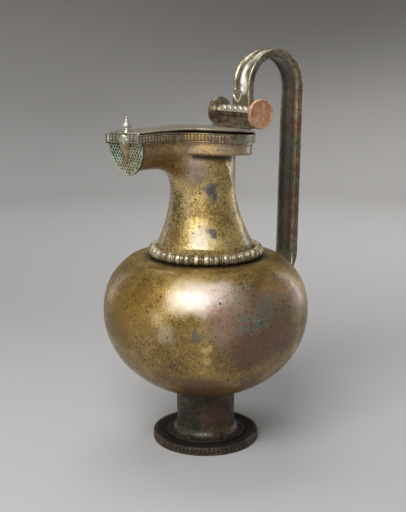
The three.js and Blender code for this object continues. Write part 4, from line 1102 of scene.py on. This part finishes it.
def bronze(
    name,
    tints,
    patch=26.0,
    mottle=0.5,
    freckle=0.5,
    freckle_colour=0x33240F,
    pits=0.5,
    stains_and_highlights=(),
    clear=(),
    rough=(0.3, 0.5),
    metallic=0.85,
    coat=0.15,
    groove=None,
):
    """Aged bronze: cloudy tone, grain, fine freckles, pits, local stain marks with painted highlights, and
    painted shade in the groove colour.

    tints are the dark, middle and light colours, and patch is the size of their clouds. A stain is its
    centre, radius, colour, strength and the size of the noise that breaks it up, 0 for none. clear
    lists the centres and radii of places that keep few freckles and pits.
    """
    p = Paint(name)
    dark, middle, light = [linear(tint) for tint in tints]
    cloud = p.noise(patch, 4.0, 0.55)
    fine = p.noise(3.2, 6.0, 0.7, 40.0)
    grain = p.noise(1.3, 3.0, 0.75, 25.0)
    tone = p.math("ADD", cloud, p.math("MULTIPLY", p.math("SUBTRACT", fine, 0.5), 0.8 * mottle))
    tone = p.math("ADD", tone, p.math("MULTIPLY", p.math("SUBTRACT", grain, 0.5), 1.4 * mottle))
    colour = p.mix(dark, middle, p.span(tone, 0.34, 0.5))
    colour = p.mix(colour, light, p.span(tone, 0.52, 0.7))
    dull = p.span(cloud, 0.62, 0.35, 0.0, 0.35)
    for *centre, radius, tint, strength, broken in stains_and_highlights:
        away = p.vector("DISTANCE", p.warped, centre)
        mask = p.span(away, radius * 1.3, radius * 0.5, 0.0, strength)
        if broken:
            mask = p.math("MULTIPLY", mask, p.span(p.noise(broken, 4.0, 0.7, radius), 0.46, 0.6))
        colour = p.mix(colour, linear(tint), mask)
        dull = p.math("MAXIMUM", dull, mask)
    spread = p.span(p.noise(34.0, 3.0, 0.5, 90.0), 0.35, 0.65, 0.25, 1.0)
    lone = p.span(p.noise(21.0, 2.0, 0.5, 55.0), 0.46, 0.6)
    for *centre, radius in clear:
        bare = p.span(p.vector("DISTANCE", p.place, centre), 0.5 * radius, radius, 0.1, 1.0)
        spread = p.math("MULTIPLY", spread, bare)
        lone = p.math("MULTIPLY", lone, bare)
    glints = p.span(p.noise(2.1, 2.0, 0.6, 65.0), 0.62, 0.66, 0.0, 0.6 * freckle)
    colour = p.mix(colour, light, p.math("MULTIPLY", glints, spread))
    specks = p.span(p.noise(2.4, 3.0, 0.7, 15.0), 0.585, 0.62, 0.0, freckle)
    specks = p.math("MULTIPLY", specks, spread)
    colour = p.mix(colour, linear(freckle_colour), specks)
    cells = p.texture("ShaderNodeTexVoronoi", 6.5, 0.0)["Distance"]
    hollow = p.math("MULTIPLY", p.math("MULTIPLY", p.span(cells, 0.22, 0.13), lone), pits)
    colour = p.mix(colour, linear(PIT_COLOUR), hollow)
    if groove is not None:
        # Painted shade: the groove attribute mixes in the groove colour in hollows, gaps and under parts
        depth = p.node("ShaderNodeAttribute", attribute_name="groove").outputs["Fac"]
        deep = p.math("MULTIPLY", depth, p.span(fine, 0.3, 0.7, 0.75, 1.0))
        colour = p.mix(colour, linear(groove), deep)
        dull = p.math("MAXIMUM", dull, deep)
    dull = p.math("MAXIMUM", dull, p.math("MAXIMUM", specks, hollow))
    smear = p.span(p.noise(7.0, 5.0, 0.65, 70.0), 0.3, 0.7, rough[0], rough[1])
    height = p.math("ADD", p.math("MULTIPLY", cloud, 1.5), p.math("MULTIPLY", fine, 0.25))
    height = p.math("ADD", height, p.math("MULTIPLY", grain, 0.2))
    height = p.math("SUBTRACT", height, p.math("MULTIPLY", hollow, 0.7))
    height = p.math("SUBTRACT", height, p.math("MULTIPLY", specks, 0.12))
    p.set(
        Base_Color=colour,
        Roughness=p.math("ADD", smear, p.math("MULTIPLY", dull, 0.28)),
        Metallic=p.math("SUBTRACT", metallic, p.math("MULTIPLY", dull, 0.35)),
        Coat_Weight=coat,
        Coat_Roughness=COAT_ROUGHNESS,
        Coat_IOR=COAT_IOR,
        Normal=p.bump(height, BUMP_STRENGTH, BUMP_DISTANCE),
    )
    return p.material


# Stain marks, with some painted highlights and a painted reflection among them
BELLY_STAINS_AND_HIGHLIGHTS = [
    # Painted highlight: a vertical streak of small pale gold spots low on the belly's front
    (56, 71.7, 112, 4, 0xCDB06A, 0.7, 0),
    (54.5, 69.9, 103, 4, 0xCDB06A, 0.7, 0),
    (52.1, 66.7, 93, 4, 0xC4A45C, 0.7, 0),
    # Painted highlight over paler metal: pale patches where the key light's broad highlight falls
    (63.7, 53.6, 154.2, 17, 0xCCBEA8, 0.5, 0),
    (52, 64.5, 154.3, 17, 0xCCBFB2, 0.65, 0),
    (39.5, 72.9, 154.4, 15, 0xC6B6AC, 0.8, 0),
    # Painted reflection: a pale grey patch at the belly's right edge
    (-35.4, 82.1, 139.7, 15, 0xA8958A, 0.6, 0),
    (90.4, 9.2, 132.7, 30, 0x80600F, 0.6, 0),
    (60, 30, 66, 24, 0x5C3614, 0.7, 2.6),
    (52.1, 66.7, 92.9, 34, 0x957640, 0.5, 3.0),
    (42.2, 51.7, 66, 22, 0x5A3A1C, 0.8, 0),
    (30, 84, 133, 30, 0x84705F, 0.85, 0),
    (2, 88, 128, 34, 0x6A5544, 0.85, 0),
    (-14, 83.8, 151.4, 20, 0x85503A, 0.65, 3.4),
    (44.6, 77.7, 140.3, 13, 0x86503C, 0.6, 3.0),
    (31.1, 86, 122.2, 16, 0x80483A, 0.65, 3.6),
    (20.8, 88, 110.7, 21, 0x63442F, 0.85, 0),
    (-4, 90, 118, 18, 0x744633, 0.65, 4.0),
    (21.4, 88.3, 132.5, 13, 0x4A6E70, 0.75, 3.2),
    (8, 89.4, 138, 13, 0x47695F, 0.65, 2.8),
    (22.5, 77.5, 157.7, 10, 0x66856F, 0.6, 3.0),
    (-6, 87, 143, 12, 0x55766A, 0.5, 2.6),
    (61.9, 67.2, 124.1, 5, 0x5A4F45, 0.9, 0),
    (85.9, 30.6, 112, 12, 0x4A3018, 0.8, 2.0),
    (70.3, 57.7, 133, 6, 0x4F3A1E, 0.7, 1.6),
    (77.9, 48, 123.3, 8, 0xA89A7C, 0.6, 0),
    (34, 80, 104, 18, 0x4E3B22, 0.75, 2.4),
    (-70, 30, 120, 40, 0x6B4C38, 0.6, 4.0),
    (10, -80, 140, 34, 0x5E7A66, 0.5, 3.0),
    (40, -60, 95, 34, 0x5A3F26, 0.6, 3.0),
]

NECK_STAINS_AND_HIGHLIGHTS = [
    # Painted highlight over paler metal: a pale patch where the key light's highlight falls on the neck
    (24, 28.8, 194.3, 12, 0xB4A892, 0.6, 0),
    (24.2, 17.9, 252.9, 14, 0x9A8A7C, 0.75, 0),
    (14, 24.5, 234, 6.5, 0x4C4846, 0.95, 0),
    (12, 27, 229.5, 5, 0x4C4846, 0.95, 0),
    (22, 19, 244, 6, 0x655E58, 0.8, 0),
    (16.3, 31.2, 200, 6, 0x554D47, 0.95, 0),
    (16, 32.5, 195, 4, 0x554D47, 0.95, 0),
    (31.4, 5.3, 219, 16, 0x55401F, 0.75, 2.2),
    (31.1, -1.7, 225.5, 13, 0x4A3D2C, 0.8, 2.0),
    (32.9, -5.2, 210.4, 16, 0x46381F, 0.85, 2.4),
    (36.1, -10, 195, 15, 0x4E3C1E, 0.75, 2.6),
    (-18, 37, 183.4, 10, 0x4C7A6C, 0.85, 2.4),
    (-23.1, 30.4, 188, 12, 0x517A6C, 0.7, 2.6),
    (33, 24, 184, 11, 0x6F5A33, 0.5, 2.0),
    (69.5, 19.9, 262, 22, 0x74451C, 0.75, 0),
    (50, 14, 252, 17, 0x6A421E, 0.75, 0),
    (30, 27, 270, 13, 0xA08C70, 0.75, 0),
    (10, 38, 271, 15, 0xB0987A, 0.8, 0),
    (-16, 37, 271, 16, 0x9A8A76, 0.8, 0),
    # Painted highlight: broken gold glints on the collar
    (24, 32, 269, 10, 0xDCB070, 0.9, 2.2),
    (5.3, 40, 273.8, 9, 0x6C8A78, 0.4, 2.4),
    (-28, -12, 215, 18, 0x5B4526, 0.6, 2.5),
]

BAND_STAINS = [
    (-6.6, 41.9, 278.4, 10, 0x64877A, 0.8, 2.4),
    (-28, 32, 277, 9, 0x6A8A7C, 0.7, 2.0),
    (32.5, 28.9, 281.1, 10, 0x9A7A3C, 0.7, 0),
    (60, 26.3, 281, 14, 0x8A6E3C, 0.5, 2.4),
]

FASCIA_STAINS_AND_HIGHLIGHT = [
    (86, -13, 279, 8, 0x6C6644, 0.6, 0),
    (86, 15, 280, 9, 0x9A8C84, 0.6, 0),
    # Painted highlight: the left corner post is painted near white
    (86, -23, 280, 5, 0xE6E2D4, 0.85, 0),
]

STRAINER_STAINS = [
    (82.5, 10, 266, 14, 0x8C7644, 0.85, 2.4),
    (82, -4, 256, 10, 0x94793C, 0.8, 2.2),
    (83, -16, 266, 7, 0x6E9478, 0.6, 2.0),
]

HANDLE_STAINS_AND_HIGHLIGHTS = [
    (-51.5, 5.7, 342.8, 8, 0x6B8F84, 0.6, 2.2),
    (-62, 4, 349, 10, 0x8E8468, 0.5, 1.8),
    (-42, 0, 308, 9, 0x5E4A22, 0.7, 1.8),
    # Painted highlight: a white streak up the near flute of the front limb
    (-39, 3.4, 316.5, 4.5, 0xDCD6CA, 0.7, 0),
    (-39.8, 3.5, 323.5, 5.0, 0xF2EEE6, 0.85, 0),
    (-41.2, 2.8, 330.2, 4.0, 0xE6E0D4, 0.6, 0),
    (-44.4, 2.1, 336.4, 4.0, 0xDCD6C8, 0.45, 0),
    (-98, -2, 215, 75, 0x6A624C, 0.3, 0),
    (-96, 8, 312, 11, 0x6E3A26, 0.85, 2.4),
    (-96, 10, 288, 17, 0x7C3A26, 0.95, 2.4),
    (-97, 5, 262, 11, 0x3E5A42, 0.85, 2.2),
    (-96, 9, 246, 14, 0x6E3420, 0.85, 2.6),
    (-96, 3, 226, 12, 0x46604A, 0.85, 2.4),
    (-97, 10, 212, 18, 0x804030, 0.95, 2.4),
    (-96, 8, 186, 14, 0x6B3A26, 0.85, 2.6),
    (-101, 12, 250, 9, 0xA08C5E, 0.6, 2.0),
    (-101, 12, 300, 12, 0xA4946C, 0.6, 2.0),
    (-92.6, 1.8, 163, 12, 0x3F6156, 0.85, 2.4),
]

DISC_STAINS = [(-33, 30, 286.5, 6.5, 0x80866C, 0.85, 2.2), (-46, 30, 302, 4, 0xA05A34, 0.6, 0)]

FOOT_STAINS = [
    (3, 26.1, 29.7, 14, 0x5A3A2E, 0.6, 0),
    (18.7, 23.4, 11, 12, 0x3C4A48, 0.7, 2.4),
    (30, 8, 14, 11, 0x364A3C, 0.6, 2.6),
]


def make_materials():
    looks = {}
    looks["belly_bronze"] = dict(
        tints=(0x5E4818, 0x856A2E, 0xAD9150),
        mottle=0.75,
        freckle=0.85,
        freckle_colour=0x38280F,
        pits=0.9,
        stains_and_highlights=BELLY_STAINS_AND_HIGHLIGHTS,
        # Keeps the painted highlight free of freckles and pits
        clear=[(60, 58, 153, 26)],
        rough=(0.36, 0.52),
        coat=0.4,
        groove=0x100C07,
    )
    looks["neck_bronze"] = dict(
        tints=(0x7A6032, 0xB09654, 0xCEB67C),
        patch=20.0,
        mottle=0.9,
        freckle=0.95,
        freckle_colour=0x32230F,
        pits=0.9,
        stains_and_highlights=NECK_STAINS_AND_HIGHLIGHTS,
        # The first of these keeps the painted highlight free of freckles and pits
        clear=[(24, 28.8, 190, 16), (22, 23, 214, 15)],
        rough=(0.38, 0.54),
        coat=0.5,
        groove=0x1C130A,
    )
    looks["ring_bronze"] = dict(
        tints=(0x7A6644, 0xB3A178, 0xE4D8B4), patch=9.0, mottle=0.8, freckle=0.4, coat=0.7, groove=0x140E07
    )
    looks["rim_bronze"] = dict(
        tints=(0x5E5040, 0x877660, 0xAC9C80),
        patch=10.0,
        mottle=0.9,
        stains_and_highlights=BAND_STAINS,
        rough=(0.34, 0.52),
        coat=0.3,
        groove=0x463826,
    )
    looks["lid_bronze"] = dict(tints=(0x6F675A, 0x8F8774, 0xB0A68E), patch=14.0, rough=(0.34, 0.52))
    looks["fascia_bronze"] = dict(
        tints=(0x7E7A5E, 0xADA88E, 0xD2CCB6),
        patch=6.0,
        mottle=0.8,
        stains_and_highlights=FASCIA_STAINS_AND_HIGHLIGHT,
        rough=(0.26, 0.42),
        coat=0.3,
        groove=0x2C271B,
    )
    looks["leaf_bronze"] = dict(
        tints=(0x7A6A4A, 0xA08C66, 0xC4B38C), patch=6.0, rough=(0.35, 0.5), metallic=0.7
    )
    looks["finial_bronze"] = dict(
        tints=(0x9C9684, 0xC6C1B0, 0xE6E2D4), patch=5.0, freckle=0.3, rough=(0.2, 0.34)
    )
    looks["strainer_bronze"] = dict(
        tints=(0x565C48, 0x7E8772, 0xA9B19E),
        patch=7.0,
        mottle=0.9,
        freckle=0.6,
        freckle_colour=0x574A2C,
        stains_and_highlights=STRAINER_STAINS,
        rough=(0.45, 0.65),
        metallic=0.35,
        coat=0.1,
        groove=0x080906,
    )
    looks["handle_bronze"] = dict(
        tints=(0x5A4D36, 0x877A60, 0xABA08A),
        patch=16.0,
        mottle=0.8,
        freckle=0.8,
        stains_and_highlights=HANDLE_STAINS_AND_HIGHLIGHTS,
        rough=(0.25, 0.42),
        coat=0.4,
        groove=0x0E0D0A,
    )
    looks["roll_bronze"] = dict(
        tints=(0xB2A894, 0xD4CAB2, 0xEAE4D2), patch=6.0, rough=(0.22, 0.38), coat=0.4, groove=0x261E13
    )
    looks["disc_copper"] = dict(
        tints=(0x94644A, 0xB48464, 0xC9A387),
        patch=7.0,
        mottle=0.8,
        freckle=0.25,
        pits=0.2,
        stains_and_highlights=DISC_STAINS,
        rough=(0.5, 0.66),
        metallic=0.3,
        coat=0.05,
    )
    looks["dark_bronze"] = dict(
        tints=(0x4A3F31, 0x857560, 0xB2A48A), patch=7.0, mottle=0.9, rough=(0.26, 0.44), coat=0.3
    )
    looks["foot_bronze"] = dict(
        tints=(0x2B251D, 0x453A2E, 0x6A5A46),
        patch=16.0,
        mottle=0.7,
        stains_and_highlights=FOOT_STAINS,
        rough=(0.36, 0.56),
        metallic=0.7,
        coat=0.08,
        groove=0x16110C,
    )
    for slot, look in looks.items():
        PAINT[slot] = bronze(slot, **look)


# Stage, lights and camera

# Camera place in the object's frame, in millimetres, and where level screen directions point
CAMERA = (506.4, 656.0, 353.4)
RIGHT = (-0.7934, 0.6088)
AWAY = (-0.6088, -0.7934)
PITCH = math.radians(12.45)
FOCAL_PIXELS = 950.0
IMAGE_HEIGHT = 512

# Every lamp faces this point, in millimetres
LAMP_AIM = (0, 0, 180)
AIR_STRENGTH = 0.24

SWEEP_FLAT = 1500.0
SWEEP_BEND = 700.0
SWEEP_WALL_TOP = 2600.0
# Painted light: the sweep's colour rises from near to middle to make up for the lamps' fall-off, then
# darkens to the top colour high on the wall
SWEEP_NEAR = (0.4, 0.395, 0.393)
SWEEP_MIDDLE = (0.77, 0.755, 0.742)
SWEEP_TOP = (0.267, 0.255, 0.241)


def sweep():
    """Round studio sweep: a floor that curves up into a wall on every side, with painted light in its
    colour.
    """
    turn = np.linspace(0, math.pi / 2, 24)[1:]
    bend = stack(SWEEP_FLAT + SWEEP_BEND * np.sin(turn), SWEEP_BEND - SWEEP_BEND * np.cos(turn))
    profile = [(0, 0), (300, 0), (900, 0), (SWEEP_FLAT, 0), *bend]
    profile.append((SWEEP_FLAT + SWEEP_BEND, SWEEP_WALL_TOP))
    points, faces = lathe(profile, 96)
    mesh = bpy.data.meshes.new("studio_sweep")
    mesh.from_pydata((points * MM).tolist(), [], faces)
    mesh.validate()
    mesh.shade_smooth()
    piece = bpy.data.objects.new("studio_sweep", mesh)
    bpy.context.scene.collection.objects.link(piece)
    p = Paint("sweep_paper")
    apart = p.node("ShaderNodeSeparateXYZ")
    p.put(apart.inputs[0], p.place)
    x, y, z = apart.outputs
    away = p.math("ADD", p.math("MULTIPLY", x, AWAY[0]), p.math("MULTIPLY", y, AWAY[1]))
    right = p.math("ADD", p.math("MULTIPLY", x, RIGHT[0]), p.math("MULTIPLY", y, RIGHT[1]))
    reach = p.math("ADD", away, z)
    colour = p.mix(SWEEP_NEAR, SWEEP_MIDDLE, p.span(reach, 250.0, 1550.0))
    colour = p.mix(colour, SWEEP_TOP, p.span(reach, 1450.0, 2850.0))
    # Painted light: one side of the sweep is painted lighter than the other
    side = p.math("MULTIPLY", p.span(reach, 150.0, 450.0), p.span(reach, 2050.0, 2600.0, 1.0, -1.0))
    painted_side_light = p.span(right, -500.0, 500.0, -0.11, 0.17)
    painted_light_gain = p.math("ADD", 1.0, p.math("MULTIPLY", side, painted_side_light))
    p.set(Base_Color=p.vector("SCALE", colour, scale=painted_light_gain), Roughness=0.9, Specular_IOR_Level=0.2)
    mesh.materials.append(p.material)
    piece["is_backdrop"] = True


def lamp(name, direction, distance, width, height, watts):
    """A soft box seen from the jug along (right, away, up)."""
    right, away, up = direction
    ground = np.array(RIGHT) * right + np.array(AWAY) * away
    toward = Vector((*ground, up)).normalized()
    light = bpy.data.lights.new(name, "AREA")
    light.shape = "RECTANGLE"
    light.size = width * MM
    light.size_y = height * MM
    light.energy = watts
    holder = bpy.data.objects.new(name, light)
    holder.location = Vector(LAMP_AIM) * MM + toward * distance * MM
    holder.rotation_euler = toward.to_track_quat("Z", "Y").to_euler()
    bpy.context.scene.collection.objects.link(holder)


def make_lights():
    lamp("key_box", (-0.24, -0.70, 0.66), 1300, 900, 720, 22)
    lamp("top_box", (-0.1, 0.35, 0.92), 1350, 900, 700, 8)
    lamp("left_box", (-0.74, 0.66, 0.08), 1500, 200, 1100, 1.35)
    lamp("front_fill", (-0.78, -0.62, 0.04), 1300, 300, 420, 1.6)
    lamp("right_strip", (0.78, 0.62, 0.08), 1300, 220, 1200, 3.2)
    world = bpy.data.worlds.new("studio_air")
    world.use_nodes = True
    air = world.node_tree.nodes["Background"]
    air.inputs["Color"].default_value = (1.0, 0.99, 0.975, 1.0)
    air.inputs["Strength"].default_value = AIR_STRENGTH
    bpy.context.scene.world = world


def make_camera():
    data = bpy.data.cameras.new("photo_view")
    data.sensor_fit = "VERTICAL"
    data.sensor_height = 24.0
    data.lens = FOCAL_PIXELS / IMAGE_HEIGHT * data.sensor_height
    data.clip_start = 0.01
    data.clip_end = 50
    holder = bpy.data.objects.new("photo_view", data)
    holder.location = Vector(CAMERA) * MM
    aim = Vector((AWAY[0] * math.cos(PITCH), AWAY[1] * math.cos(PITCH), -math.sin(PITCH)))
    holder.rotation_euler = aim.to_track_quat("-Z", "Y").to_euler()
    bpy.context.scene.collection.objects.link(holder)
    bpy.context.scene.camera = holder


def dress_carried_nodes():
    """Materials of the CAD nodes that show as they are."""
    for name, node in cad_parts.items():
        if name.startswith(("lid_bracket", "hinge_pin", "bracket_rivet")):
            node.data.materials.clear()
            node.data.materials.append(PAINT["dark_bronze"])


def main():
    make_materials()
    make_belly()
    make_foot()
    make_stem()
    make_foot_rivets()
    make_neck()
    make_ring()
    make_rim_band()
    make_strainer()
    make_strainer_edge()
    make_lid()
    make_fascia()
    make_leaf()
    make_leaf_head()
    make_finial()
    make_rotelle(1, "rotelle_near", "disc_copper")
    make_rotelle(-1, "rotelle_far", "dark_bronze")
    make_roll()
    make_yoke()
    make_handle()
    make_handle_heart()
    dress_carried_nodes()
    sweep()
    make_lights()
    make_camera()
    bpy.context.scene.view_settings.view_transform = "Standard"
    boxes = {"cad": cad_box, "visual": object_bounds()}
    {key: [list(map(float, corner)) for corner in box] for key, box in boxes.items()}


main()
